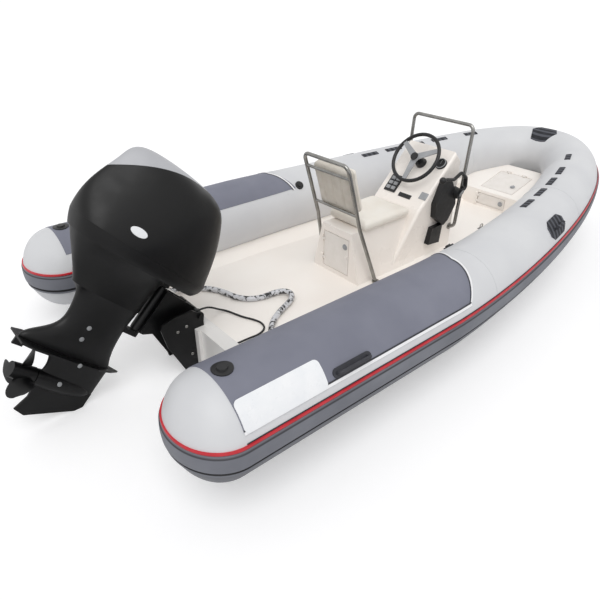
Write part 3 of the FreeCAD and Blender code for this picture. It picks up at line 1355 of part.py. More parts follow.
def level_ring(back, front, half, height, square, aft_square=None):
    """A level section of the engine, a superellipse drawn as one spline; its aft half may be sharper."""
    middle = (back + front) / 2
    points = []
    for step in range(RING_POINTS):
        turn = 2 * math.pi * step / RING_POINTS
        cosine, sine = math.cos(turn), math.sin(turn)
        power = 2 / (aft_square if aft_square and cosine < 0 else square)
        along = math.copysign(abs(cosine) ** power, cosine) * (front - back) / 2
        side = math.copysign(abs(sine) ** power, sine) * half
        points.append(Vector(middle + along, side, height))
    spline = Part.BSplineCurve()
    spline.interpolate(Points=points, PeriodicFlag=True)
    return Part.Wire(spline.toShape())


# Sections down the leg: shares of the way to the plate, of its chord at the front and back,
# and of its half width
LEG_SHARES = [(0.00, 0.00, 1.20, 1.00), (0.14, 0.01, 1.05, 0.86), (0.35, 0.02, 1.00, 0.76),
              (0.60, 0.00, 1.02, 0.72),
              (0.78, -0.04, 1.20, 0.70), (1.00, -0.14, 1.40, 0.66)]


def leg_loft(shares, low):
    wires = []
    for way, front, back, half in shares:
        height = -size["legTop"] - (low - size["legTop"]) * way
        ends = [-size["legFront"] - size["legChord"] * share for share in (back, front)]
        wires.append(level_ring(*ends, size["legHalf"] * half, height, LEG_SQUARE_SHARE))
    return Part.makeLoft(wires, True, False)


def yoke(low):
    """An arm from the leg to the steering shaft, round at its end."""
    axis = -size["swivelSetback"]
    arm = block((-size["legFront"] - size["yokeRadius"], -size["yokeRadius"], low),
                (axis, size["yokeRadius"], low + size["yokeThick"]))
    return arm.fuse(Part.makeCylinder(size["yokeRadius"], size["yokeThick"], Vector(axis, 0, low)))


def leg_housing():
    """The driveshaft housing with its core up into the pan, the steering shaft and its two yokes."""
    leg = leg_loft(LEG_SHARES, size["plateDrop"])
    core = block((-size["legFront"] - size["legChord"] / 2, -size["coreHalf"],
                  -size["legTop"] - size["cutOverrun"]),
                 (-size["legFront"] - size["yokeRadius"], size["coreHalf"],
                  size["panRise"] + size["yokeThick"]))
    axis = -size["swivelSetback"]
    low = -size["swivelDrop"] - size["yokeGap"] - size["yokeThick"]
    high = size["swivelRise"] + size["yokeGap"]
    shaft = rod(size["swivelShaft"], Vector(axis, 0, low), Vector(axis, 0, high + size["yokeThick"]))
    return leg.fuse([core, shaft, yoke(low), yoke(high)])


leg_shape = leg_housing()
feature("leg_housing", leg_shape, TILTED)

# Profile of the gearcase from its nose: shares of its length and of its radius
CASE_SHARES = [(0.00, 0.00), (0.05, 0.38), (0.22, 0.80), (0.50, 1.00), (0.85, 0.98), (1.00, 0.90)]
# Half outline of the plate from its tip: shares of its length and of its half width
WING_SHARES = [(0.00, 0.00), (0.11, 0.42), (0.28, 0.84), (0.55, 1.00), (0.90, 1.00), (1.00, 0.80)]
# Side outline of the skeg: shares of the strut's length aft of its front edge and of the skeg's depth
SKEG_SHARES = [(0.00, 0.00), (0.00, 0.50), (0.79, 1.00), (0.97, 0.91), (0.90, 0.53), (0.93, 0.00)]
STRUT_BACK_SHARES = [(0.00, 1.08, 1.00), (0.45, 0.95, 0.72), (1.00, 1.00, 0.62)]


def gearcase():
    """Torpedo, strut, anti-ventilation plate with its trim tab, and skeg."""
    drop = size["shaftDrop"]
    plate = -size["plateDrop"]
    long = size["caseTail"] - size["caseNose"]
    profile = [Vector(-size["caseNose"] - long * along, 0, size["caseRadius"] * out) for along,
               out in CASE_SHARES]
    spline = Part.BSplineCurve()
    spline.interpolate(profile)
    tail = Vector(profile[-1].x, 0, 0)
    face = Part.Face(Part.Wire([spline.toShape(), Part.makeLine(profile[-1], tail),
                                Part.makeLine(tail, profile[0])]))
    torpedo = face.revolve(Vector(0, 0, 0), Vector(1, 0, 0), 360)
    torpedo.translate(Vector(0, 0, -drop))
    front = -size["strutFront"]
    chord = size["caseTail"] - size["strutFront"]
    strut = Part.makeLoft([level_ring(front - chord * back, front, size["strutHalf"] * half,
                                      plate - (drop - size["plateDrop"]) * way, LEG_SQUARE_SHARE)
                           for way, back, half in STRUT_BACK_SHARES], True, False)
    reach = size["plateEnd"] - size["plateTip"]
    half = [Vector(-size["plateTip"] - reach * along, size["plateHalf"] * out, plate) for along,
            out in WING_SHARES]
    wing = prism(half + [flipped(point) for point in reversed(half[1:])], Vector(0, 0, -size["plateThick"]))
    tab = block((-size["plateEnd"], -size["skegThick"] / 2, plate - size["plateThick"] - size["tabDepth"]),
                (-size["plateEnd"] + size["tabLength"], size["skegThick"] / 2, plate))
    thin = size["skegThick"]
    edge = [Vector(front - chord * along, -thin / 2, -drop - size["skegDrop"] * down) for along,
            down in SKEG_SHARES]
    skeg = prism(edge, Vector(0, thin, 0))
    return torpedo.fuse([strut, wing, tab, skeg])


feature("gearcase", gearcase(), TILTED)

# Sections out along a blade: shares of the propeller's radius, pitch angle, chord, thickness and rake
BLADE_SHARES = [(0.24, 62, 0.52, 1.00, 0.00), (0.45, 48, 0.80, 0.72, 0.03), (0.68, 36, 0.94, 0.50, 0.07),
                (0.88, 29, 0.80, 0.34, 0.10), (1.00, 26, 0.34, 0.22, 0.12)]


def blade(turn):
    """One blade: cupped, lens-shaped sections twisted from the hub out to a narrow tip."""
    wires = []
    for way, pitch, chord_share, thick_share, rake in BLADE_SHARES:
        chord = size["propRadius"] * chord_share / 2
        thick = size["bladeThick"] * thick_share
        cup = size["bladeCup"] * chord_share
        front = Part.Arc(Vector(-chord, 0, 0), Vector(0, cup + thick, 0), Vector(chord, 0, 0)).toShape()
        rear = Part.Arc(Vector(chord, 0, 0), Vector(0, cup, 0), Vector(-chord, 0, 0)).toShape()
        wire = Part.Wire([front, rear])
        spot = Vector(-size["propRadius"] * rake, 0, size["propRadius"] * way)
        wire.Placement = Placement(spot, Rotation(Vector(0, 0, 1), 90 - pitch))
        wires.append(wire)
    form = Part.makeLoft(wires, True, False)
    form.rotate(Vector(0, 0, 0), Vector(1, 0, 0), turn)
    return form


def propeller():
    start = -size["caseTail"] - size["propGap"]
    hub = Part.makeCone(size["propHub"], size["propHub"] * 0.88, size["propLength"], Vector(0, 0, 0),
                        Vector(-1, 0, 0))
    shaft = Part.makeCylinder(size["propHub"] / 3, size["propGap"] - size["seatGap"], Vector(0, 0, 0),
                              Vector(1, 0, 0))
    blades = [blade(turn) for turn in SPOKE_TURNS]
    for form in blades:
        form.translate(Vector(-size["propLength"] * 0.45, 0, 0))
    body = hub.fuse(blades + [shaft])
    body.translate(Vector(start, 0, -size["shaftDrop"]))
    return body


feature("propeller", propeller(), TILTED)

# Level sections of the cowl: shares of its height, of its length at the back and front, and of its half width,
# and how square its aft half is, which narrows upwards to a ridge
COWL_SHARES = [(0.00, 0.961, 0.00, 0.97, 2.7), (0.24, 0.990, 0.04, 1.00, 1.7), (0.55, 0.953, 0.10, 0.95, 1.4),
               (0.74, 0.916, 0.15, 0.86, 1.4), (0.875, 0.885, 0.20, 0.73, 1.4), (0.955, 0.820, 0.27, 0.55,
                                                                                 1.5),
               (1.00, 0.68, 0.38, 0.30, 1.8)]
# The pan and its neck, the same from the cowl's base down to the leg's top
PAN_SHARES = [(0.00, 0.961, 0.00, 0.97, 2.7), (0.50, 0.945, 0.01, 0.95, 2.7), (1.00, 0.925, 0.045, 0.88, 2.7)]
NECK_SHARES = [(0.00, 0.925, 0.262, 0.84, 2.7), (0.34, 0.870, 0.262, 0.52, 2.5),
               (0.68, 0.800, 0.262, 0.37, 2.3),
               (1.00, 0.740, 0.262, 0.33, 2.2)]
# The silver crest is what stands above two planes that rise outwards and forwards from its low end
CREST_SIDE_SHARE = 0.80
CREST_FORE_SHARE = 0.25


def cowl_loft(shares, low, tall, inset):
    wires = []
    for way, back, front, half, aft_square in shares:
        wires.append(level_ring(-size["cowlFront"] - size["cowlLong"] * back + inset,
                                -size["cowlFront"] - size["cowlLong"] * front - inset,
                                size["cowlHalf"] * half - inset, low + tall * way, COWL_SQUARE_SHARE, aft_square))
    return Part.makeLoft(wires, True, False)


def lower_cowl():
    """The pan under the cowl, flat below, and the neck that runs down into the leg."""
    rise = size["panRise"] - size["cowlBase"]
    pan = cowl_loft(PAN_SHARES, size["cowlBase"] - size["seatGap"], rise, 0)
    top = size["panRise"] + size["cutOverrun"]
    neck = cowl_loft(NECK_SHARES, top, -size["legTop"] - top, 0)
    return biggest(pan.fuse(neck).cut(leg_shape))


def crest_wedge(raise_by):
    """Everything above the crest's two rising planes."""
    reach = 2 * size["cowlHalf"]
    back = -size["cowlFront"] - size["cowlLong"]
    low = size["crestLow"] + raise_by
    top = low + reach * CREST_SIDE_SHARE
    face = [Vector(back, 0, low), Vector(back, reach, top), Vector(back, reach, top + reach),
            Vector(back, -reach, top + reach), Vector(back, -reach, top)]
    long = size["cowlLong"]
    return prism([point - Vector(long, 0, long * CREST_FORE_SHARE) for point in face],
                 Vector(3 * long, 0, 3 * long * CREST_FORE_SHARE))


def upper_cowls():
    """The hollow cowl, split into its black cover and the silver crest."""
    below = (-size["cutOverrun"] / size["cowlTall"],) + COWL_SHARES[0][1:]
    hollow = [below] + COWL_SHARES[1:-1]
    inner = cowl_loft(hollow, size["cowlBase"], size["cowlTall"] - size["cowlWall"], size["cowlWall"])
    shell = cowl_loft(COWL_SHARES, size["cowlBase"], size["cowlTall"], 0).cut(inner)
    return biggest(shell.cut(crest_wedge(0))), biggest(shell.common(crest_wedge(size["seatGap"])))


feature("lower_cowl", lower_cowl(), TILTED)
cover_shape, crest_shape = upper_cowls()
feature("upper_cowl", cover_shape, TILTED)
feature("top_cap", crest_shape, TILTED)


def powerhead():
    """The engine's mass inside the cowl, one plain block that stands on the pan."""
    mass = bound("Box", "powerhead_block", Length="massLong", Width="2 * massHalf", Height="massTall")
    corner = Vector(-size["massFront"] - size["massLong"], -size["massHalf"], size["cowlBase"])
    return finished(mass, "powerhead", TILTED.multiply(Placement(corner, Rotation())))


powerhead()


# Fittings: towing eye on the stem and lashing eyes on the transom

def eye_plate():
    """A flat plate with a rounded end and a hole, lying in the XZ plane with its root at X zero."""
    bore, stand, thick = size["eyeBore"], size["eyeStand"], size["eyeThick"]
    radius = bore + size["eyeWall"]
    plate = block((-stand, -thick / 2, -radius), (stand, thick / 2, radius))
    plate = plate.fuse(Part.makeCylinder(radius, thick, Vector(-stand, -thick / 2, 0), Vector(0, 1, 0)))
    return plate.cut(Part.makeCylinder(bore, 2 * thick, Vector(-stand, -thick, 0), Vector(0, 1, 0)))


def stern_eyes():
    """Flat eyes on the transom, their holes upright."""
    eyes = []
    for side in (-1, 1):
        reach = 2 * size["eyeStand"]
        eye = eye_plate().cut(block((0, -reach, -reach), (reach, reach, reach)))
        eye.rotate(Vector(0, 0, 0), Vector(1, 0, 0), 90)
        eye.translate(Vector(-size["transomBack"], side * size["sternEyeHalf"], size["sternEyeHeight"]))
        eyes.append(eye)
    return Part.makeCompound(eyes)


def bow_eye():
    eye = eye_plate()
    eye.rotate(Vector(0, 0, 0), Vector(0, 1, 0), 180)
    eye.translate(Vector(size["bowEyeReach"], 0, size["bowEyeHeight"]))
    return biggest(eye.cut(hull_shape))


feature("stern_eyes", stern_eyes())
feature("bow_eye", bow_eye())


# Rigging hose and control cable that lie loose on the sole, from boot to boot on the transom's inner face

# Routes in millimetres from the transom's inner face forward, to port, and above the sole's surface
HOSE_ROUTE = [(42, 455, 38), (120, 455, 38), (200, 425, 18), (272, 355, 18), (318, 262, 18), (338, 165, 18),
              (385, 82, 18), (465, 42, 18), (550, 40, 20), (618, 14, 26), (640, -48, 30), (598, -105, 26),
              (512, -138, 20), (420, -178, 18), (332, -238, 18), (268, -318, 18), (210, -392, 18), (130,
                                                                                                    -448, 38),
              (42, -448, 38)]
CABLE_ROUTE = [(42, 104, 66), (90, 104, 66), (138, 112, 42), (178, 106, 16), (214, 78, 6), (232, 22, 6),
               (252, -48, 6),
               (288, -116, 6), (306, -180, 6), (282, -240, 6), (216, -268, 8), (138, -274, 20), (42, -274,
                                                                                                 20)]


def cord_points(route):
    """The route's points in the boat's frame; the heights are taken from the sole's surface."""
    lift = size["soleHeight"] + size["seatGap"]
    return [Vector(TRANSOM_FACE + x, y, lift + z) for x, y, z in route]


def boots(route, radius):
    """A tapering boot at each end of a route, from the transom to where the cord comes out."""
    forms = []
    for x, y, z in (route[0], route[-1]):
        root = Vector(TRANSOM_FACE, y, size["soleHeight"] + size["seatGap"] + z)
        wide = radius + 2 * size["bootWall"]
        forms.append(Part.makeCone(wide, radius + size["bootWall"], size["bootLength"], root,
                                   Vector(1, 0, 0)))
    return forms


boot_forms = boots(HOSE_ROUTE, size["hoseRadius"]) + boots(CABLE_ROUTE, size["cableRadius"])
feature("cord_boots", Part.makeCompound(boot_forms))
feature("rigging_hose", bent_rail(cord_points(HOSE_ROUTE), size["hoseRadius"]))
feature("control_cable", bent_rail(cord_points(CABLE_ROUTE), size["cableRadius"]))

DOC.recompute()
os.makedirs("parts", exist_ok=True)
for item in DOC.Objects:
    if "Invalid" in item.State or "Error" in item.State:
        raise RuntimeError(f"{item.Label} failed: {item.State}")
for piece in NODES:
    if piece.Shape.isNull() or not piece.Shape.isValid():
        raise RuntimeError(f"{piece.Label} has no valid shape")
    piece.Shape.exportStep(f"parts/{piece.Label}.step")
    print(piece.Label, len(piece.Shape.Solids), round(piece.Shape.Volume / 1e6, 3))
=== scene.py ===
import json
import math

import bpy
from bpy.props import FloatProperty, FloatVectorProperty, IntProperty, PointerProperty
from mathutils import Matrix, Vector


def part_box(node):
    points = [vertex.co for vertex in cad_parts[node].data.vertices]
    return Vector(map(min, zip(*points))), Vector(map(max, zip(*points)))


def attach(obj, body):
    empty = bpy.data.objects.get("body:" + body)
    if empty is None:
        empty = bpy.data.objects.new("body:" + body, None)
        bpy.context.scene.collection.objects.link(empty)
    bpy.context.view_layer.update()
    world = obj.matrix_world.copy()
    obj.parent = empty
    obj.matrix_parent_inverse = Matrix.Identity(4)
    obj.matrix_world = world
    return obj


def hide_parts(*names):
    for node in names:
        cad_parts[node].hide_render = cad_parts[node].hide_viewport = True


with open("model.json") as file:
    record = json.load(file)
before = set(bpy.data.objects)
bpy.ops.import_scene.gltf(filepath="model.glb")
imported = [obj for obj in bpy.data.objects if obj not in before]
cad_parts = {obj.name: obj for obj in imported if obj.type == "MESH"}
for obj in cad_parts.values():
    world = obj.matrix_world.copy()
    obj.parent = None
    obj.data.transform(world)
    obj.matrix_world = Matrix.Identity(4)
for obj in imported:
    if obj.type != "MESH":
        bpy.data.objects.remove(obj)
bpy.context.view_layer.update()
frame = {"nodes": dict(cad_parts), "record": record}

bl_info = {
    "name": "Inflatable rib boat dressing",
    "version": (1, 0, 0),
    "blender": (4, 5, 0),
    "location": "View3D > Sidebar > Rib boat",
    "description": "Finishes, soft seats, fittings and a plain studio for a rigid inflatable boat",
    "category": "Object",
}

# Side tubes, read from the frame: centreline, radius and where the stern caps start
CAP_LOW, CAP_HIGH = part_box("stern_cap_port")
TUBE_SIDE = (CAP_LOW.y + CAP_HIGH.y) / 2
TUBE_RADIUS = (CAP_HIGH.y - CAP_LOW.y) / 2
TUBE_HEIGHT = (CAP_LOW.z + CAP_HIGH.z) / 2
STERN_SEAM = CAP_HIGH.x
# The tubes curve to the bow as a superellipse in plan, while they climb and grow slimmer
CURVE_START = STERN_SEAM + 1.349
BOW_RUN = 2.809
SHEER_RISE = 0.150
NOSE_SLIMMER = 0.045
FORE_SHARE = 1.521
SIDE_SHARE = 2.303

# Angles round a side tube, in degrees up from its outboard side, that the wear cloth lies between
PATCH_LOW = 26
PATCH_HIGH = 142
# The wear cloth's length on each tube, and how its forward edge leans, outboard and inboard of the crown
PATCH_LENGTH = {"starboard": 1.555, "port": 1.650}
EDGE_LEAN_OUT = 0.869
EDGE_LEAN_IN = 0.532
# Middle of the edging's thickness, above the tube's skin, and the thickness itself
EDGING_PROUD = 0.0042
RIBBON_THICK = 0.0015

# Backrest pad: its thickness, width and height, the ways it rises and faces, and its aft lower corner
PAD_SIZE = (0.090, 0.351, 0.325)
PAD_RISE = Vector((-0.2867, 0, 0.958))
PAD_OUT = Vector((0.958, 0, 0.2867))
PAD_CORNER = Vector((-0.5475, 0, 0.658)) + PAD_OUT * 0.0103 - PAD_RISE * 0.030

# Steering wheel: its middle, and the stretch of it that is spokes
WHEEL_CENTRE = Vector((0.1992, 0, 0.8563))
SPOKES_FROM = 0.030
SPOKES_TO = 0.150

# The dash's plane, from its aft edge up to the console's top
DASH_FOOT = Vector((0.050, 0, 0.545))
DASH_TOP = Vector((0.400, 0, 0.890))
DASH_UP = (DASH_TOP - DASH_FOOT).normalized()
DASH_OUT = Vector((-DASH_UP.z, 0, DASH_UP.x))

# The engine is drawn upright round its tilt tube and then turned up about it
TILT_AXIS = Vector((-1.670, 0, 0.340))
REST_TILT = math.radians(46)
ENGINE_PLACE = Matrix.Translation(TILT_AXIS) @ Matrix.Rotation(REST_TILT, 4, "Y")

# Frames of the cloth simulation, and the width of the camera's sensor in millimetres
SWELL_FRAMES = 20
SENSOR_WIDTH = 36.0

# A wave texture at scale 1 repeats about every 318 mm, and a noise or a cell texture about every 1000 mm
WAVE_SPAN = 318
CELL_SPAN = 1000


# Small helpers for colours, nodes and meshes

def linear(hex_colour):
    """A linear colour from an sRGB hex value."""
    values = [int(hex_colour[start:start + 2], 16) / 255 for start in (1, 3, 5)]
    return tuple(v / 12.92 if v <= 0.04045 else ((v + 0.055) / 1.055) ** 2.4 for v in values) + (1.0,)


def tone(colour):
    """A linear colour from an sRGB hex value, or from a colour property as it is."""
    return linear(colour) if isinstance(colour, str) else tuple(colour)


def add_node(tree, kind, settings=None, **sockets):
    """Adds a node, sets its properties, and fills its sockets with values or with other nodes' outputs."""
    node = tree.nodes.new(kind)
    for name, value in (settings or {}).items():
        setattr(node, name, value)
    for name, value in sockets.items():
        socket = node.inputs[int(name[1:])] if name[0] == "_" else node.inputs[name.replace("_", " ")]
        if isinstance(value, bpy.types.NodeSocket):
            tree.links.new(value, socket)
        else:
            socket.default_value = value
    return node


def only(piece):
    """Selects one object and makes it active."""
    bpy.ops.object.select_all(action="DESELECT")
    piece.select_set(True)
    bpy.context.view_layer.objects.active = piece


def start(adder, name, **settings):
    """Adds a primitive with nothing else selected, and names it."""
    bpy.ops.object.select_all(action="DESELECT")
    adder(**settings)
    bpy.context.object.name = name
    return bpy.context.object


def edit(piece, kind, pick, *steps):
    """Selects the vertices, edges or faces that pick chooses, and runs the steps on them in edit mode."""
    only(piece)
    bpy.ops.object.mode_set(mode="EDIT")
    bpy.ops.mesh.select_mode(type=kind)
    bpy.ops.mesh.select_all(action="DESELECT")
    bpy.ops.object.mode_set(mode="OBJECT")
    items = {"VERT": piece.data.vertices, "EDGE": piece.data.edges, "FACE": piece.data.polygons}[kind]
    for item in items:
        item.select = pick(item)
    bpy.ops.object.mode_set(mode="EDIT")
    for step, settings in steps:
        step(**settings)
    bpy.ops.object.mode_set(mode="OBJECT")


def modify(piece, kind, **settings):
    """Adds a modifier with these settings and applies it."""
    only(piece)
    modifier = piece.modifiers.new(kind.lower(), kind)
    for name, value in settings.items():
        setattr(modifier, name, value)
    bpy.ops.object.modifier_apply(modifier=modifier.name)


def joined(pieces, name):
    """Several objects as one."""
    only(pieces[0])
    for piece in pieces:
        piece.select_set(True)
    bpy.ops.object.join()
    bpy.context.object.name = name
    return bpy.context.object


def settle(piece, body, material, place=None, smooth=35):
    """Moves a finished piece to its place, writes that into its mesh, and adds its finish and its body."""
    only(piece)
    if place is not None:
        piece.matrix_world = place @ piece.matrix_world
    bpy.ops.object.transform_apply(location=True, rotation=True, scale=True)
    bpy.ops.object.shade_smooth_by_angle(angle=math.radians(smooth))
    piece.data.materials.clear()
    piece.data.materials.append(material)
    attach(piece, body)
    return piece


def frame_on(origin, along, out):
    """A place whose X runs along and whose Z points out of what carries the piece."""
    side = out.cross(along).normalized()
    return Matrix.Translation(origin) @ Matrix((along, side, out)).transposed().to_4x4()


def bevelled_block(name, size, centre=(0, 0, 0), edge=0.002, segments=3):
    """A block of that size with all its edges rounded."""
    piece = start(bpy.ops.mesh.primitive_cube_add, name, size=1, location=centre)
    piece.scale = size
    bpy.ops.object.transform_apply(location=False, rotation=False, scale=True)
    modify(piece, "BEVEL", width=edge, segments=segments, limit_method="NONE")
    return piece


def turned_disc(name, radius, height, edge, vertices=48):
    """A round or many-sided head with its edges rounded."""
    piece = start(bpy.ops.mesh.primitive_cylinder_add, name, vertices=vertices, radius=radius, depth=height)
    modify(piece, "BEVEL", width=edge, segments=3, limit_method="ANGLE", angle_limit=math.radians(40))
    return piece


# Materials, each named for what the real surface is

def start_material(name, colour, roughness, **more):
    """A material with its shader's plain values set, its tree, its shader and its Object coordinates."""
    material = bpy.data.materials.new(name)
    material.use_nodes = True
    material.diffuse_color = linear(colour)
    tree = material.node_tree
    shader = tree.nodes["Principled BSDF"]
    shader.inputs["Base Color"].default_value = linear(colour)
    shader.inputs["Roughness"].default_value = roughness
    for socket, value in more.items():
        shader.inputs[socket.replace("_", " ")].default_value = value
    place = add_node(tree, "ShaderNodeTexCoord").outputs["Object"]
    return material, tree, shader, place


def tint(tree, place, colours, size_mm):
    """Slow colour drift between two colours, over patches of about that size."""
    drift = add_node(tree, "ShaderNodeTexNoise", Vector=place, Scale=CELL_SPAN / size_mm, Detail=3.0)
    ramp = add_node(tree, "ShaderNodeValToRGB", Fac=drift.outputs["Fac"])
    for stop, colour, spot in zip(ramp.color_ramp.elements, colours, (0.35, 0.65)):
        stop.position = spot
        stop.color = tone(colour)
    return ramp.outputs["Color"]


def layered(tree, base, *layers):
    """The base colour with others laid over it in turn, each where its mask is 1."""
    for colour, mask in layers:
        mix = add_node(tree, "ShaderNodeMix", {"data_type": "RGBA"}, _0=mask, _6=base, _7=linear(colour))
        base = mix.outputs[2]
    return base


def within(tree, value, low, high, soft=0.004):
    """1 where the value lies between low and high, with soft edges of that width."""
    rise = add_node(tree, "ShaderNodeMapRange", Value=value, From_Min=low - soft, From_Max=low + soft)
    fall = add_node(tree, "ShaderNodeMapRange", Value=value, From_Min=high + soft, From_Max=high - soft)
    both = add_node(tree, "ShaderNodeMath", {"operation": "MULTIPLY"}, _0=rise.outputs["Result"],
                    _1=fall.outputs["Result"])
    return both.outputs["Value"]


def vary_gloss(tree, shader, place, low, high, size_mm):
    """Roughness that drifts between two values, as handling and weather leave it."""
    drift = add_node(tree, "ShaderNodeTexNoise", Vector=place, Scale=CELL_SPAN / size_mm, Detail=4.0)
    spread = add_node(tree, "ShaderNodeMapRange", Value=drift.outputs["Fac"], From_Min=0.3, From_Max=0.7,
                      To_Min=low, To_Max=high)
    tree.links.new(spread.outputs["Result"], shader.inputs["Roughness"])


def relief(tree, shader, height, strength, depth_mm):
    """Surface relief from a height value."""
    bump = add_node(tree, "ShaderNodeBump", Height=height, Strength=strength, Distance=depth_mm / 1000)
    tree.links.new(bump.outputs["Normal"], shader.inputs["Normal"])


def tube_height_share(tree, place):
    """Height above the tube's centreline as a share of its radius, and 1 on the tube's outboard side."""
    parts = add_node(tree, "ShaderNodeSeparateXYZ", Vector=place)
    share = add_node(tree, "ShaderNodeMapRange", Value=parts.outputs["X"], From_Min=CURVE_START,
                     From_Max=CURVE_START + BOW_RUN).outputs["Result"]
    square = add_node(tree, "ShaderNodeMath", {"operation": "POWER"}, _0=share, _1=2.0)
    centre = add_node(tree, "ShaderNodeMapRange", {"clamp": False}, Value=square.outputs["Value"],
                      To_Min=TUBE_HEIGHT, To_Max=TUBE_HEIGHT + SHEER_RISE)
    radius = add_node(tree, "ShaderNodeMapRange", Value=share, To_Min=TUBE_RADIUS,
                      To_Max=TUBE_RADIUS - NOSE_SLIMMER)
    above = add_node(tree, "ShaderNodeMath", {"operation": "SUBTRACT"}, _0=parts.outputs["Z"],
                     _1=centre.outputs["Result"])
    height = add_node(tree, "ShaderNodeMath", {"operation": "DIVIDE"}, _0=above.outputs["Value"],
                      _1=radius.outputs["Result"])
    fore = add_node(tree, "ShaderNodeMath", {"operation": "POWER"}, _0=share, _1=FORE_SHARE)
    left = add_node(tree, "ShaderNodeMath", {"operation": "SUBTRACT"}, _0=1.0, _1=fore.outputs["Value"])
    curve = add_node(tree, "ShaderNodeMath", {"operation": "POWER"}, _0=left.outputs["Value"],
                     _1=1 / SIDE_SHARE)
    side = add_node(tree, "ShaderNodeMath", {"operation": "MULTIPLY"}, _0=curve.outputs["Value"],
                    _1=TUBE_SIDE)
    reach = add_node(tree, "ShaderNodeMath", {"operation": "ABSOLUTE"}, _0=parts.outputs["Y"])
    outboard = add_node(tree, "ShaderNodeMath", {"operation": "GREATER_THAN"}, _0=reach.outputs["Value"],
                        _1=side.outputs["Value"])
    return height.outputs["Value"], outboard.outputs["Value"]


def towards_bow(tree, place, low, high, most):
    """0 aft of low, rising to most at high and forward of it."""
    parts = add_node(tree, "ShaderNodeSeparateXYZ", Vector=place)
    rise = add_node(tree, "ShaderNodeMapRange", Value=parts.outputs["X"], From_Min=low, From_Max=high,
                    To_Max=most)
    return rise.outputs["Result"]


def tube_cloth():
    """PVC-coated polyester, calendered: satin and light grey, with a darker grey below the strake that is
    partly the cloth's own colour and partly painted shade under the tube.
    """
    material, tree, shader, place = start_material("PVC_coated_tube_cloth", "#D3D4D7", 0.45,
                                                   Specular_IOR_Level=0.4)
    height, outboard = tube_height_share(tree, place)
    colours = bpy.context.scene.rib_colours
    base = tint(tree, place, (colours.tube_dark, colours.tube_light), 420)
    # Darker grey low on the outboard side: partly the cloth's own colour, partly painted shade under the tube
    low = within(tree, height, -2.0, 0.0)
    below = add_node(tree, "ShaderNodeMath", {"operation": "MULTIPLY"}, _0=low, _1=outboard)
    tree.links.new(layered(tree, base, ("#6C6D73", below.outputs["Value"])), shader.inputs["Base Color"])
    vary_gloss(tree, shader, place, 0.40, 0.52, 160)
    # A plain weave pressed through the coating. Real threads are about 1 mm and are drawn at 8 mm to show
    warp, weft = (add_node(tree, "ShaderNodeTexWave", {"bands_direction": way}, Vector=place,
                           Scale=WAVE_SPAN / 8).outputs["Fac"] for way in "XZ")
    cloth = add_node(tree, "ShaderNodeMath", {"operation": "MAXIMUM"}, _0=warp, _1=weft)
    relief(tree, shader, cloth.outputs["Value"], 0.10, 0.15)
    return material


def patch_cloth():
    """Thicker slate-grey coated cloth for wear, rolled matt with a dimpled face."""
    material, tree, shader, place = start_material("Slate_wear_cloth", "#7D7F8C", 0.6, Specular_IOR_Level=0.3)
    colours = bpy.context.scene.rib_colours
    tree.links.new(tint(tree, place, (colours.patch_dark, colours.patch_light), 300),
                   shader.inputs["Base Color"])
    vary_gloss(tree, shader, place, 0.55, 0.66, 120)
    # Real dimples are about 1.5 mm and are drawn at 4.5 mm to show
    dimples = add_node(tree, "ShaderNodeTexVoronoi", Vector=place, Scale=CELL_SPAN / 4.5)
    relief(tree, shader, dimples.outputs["Distance"], 0.25, 0.3)
    return material


def strake_rubber():
    """Extruded grey rubber: satin, with painted shade in the two furrows along its face, near black in the
    lower one and dark grey in the one under the bead, and a maroon tinge at the nose.
    """
    material, tree, shader, place = start_material("Extruded_strake_rubber", "#74767D", 0.5,
                                                   Specular_IOR_Level=0.35)
    height = tube_height_share(tree, place)[0]
    base = tint(tree, place, ("#70727A", "#7C7E86"), 260)
    # A maroon tinge at the nose, then painted shade: near black in the lower furrow and dark grey in the
    # furrow under the bead
    base = layered(tree, base, ("#4E2733", towards_bow(tree, place, 1.35, 2.05, 0.75)),
                   ("#17171A", within(tree, height, -0.225, -0.165, 0.006)),
                   ("#3A3B40", within(tree, height, 0.135, 0.165, 0.008)))
    tree.links.new(base, shader.inputs["Base Color"])
    ribs = add_node(tree, "ShaderNodeTexWave", {"bands_direction": "Z"}, Vector=place, Scale=WAVE_SPAN / 28)
    relief(tree, shader, ribs.outputs["Fac"], 0.35, 0.8)
    return material


def bead_rubber():
    """Red extruded rubber: smooth and a little shiny, deeper in colour towards the nose."""
    material, tree, shader, place = start_material("Red_bead_rubber", "#C32733", 0.35,
                                                   Specular_IOR_Level=0.45)
    colours = bpy.context.scene.rib_colours
    base = tint(tree, place, (colours.bead_dark, colours.bead_light), 90)
    base = layered(tree, base, ("#6E1F31", towards_bow(tree, place, 0.9, 2.1, 0.8)))
    tree.links.new(base, shader.inputs["Base Color"])
    vary_gloss(tree, shader, place, 0.3, 0.42, 60)
    return material


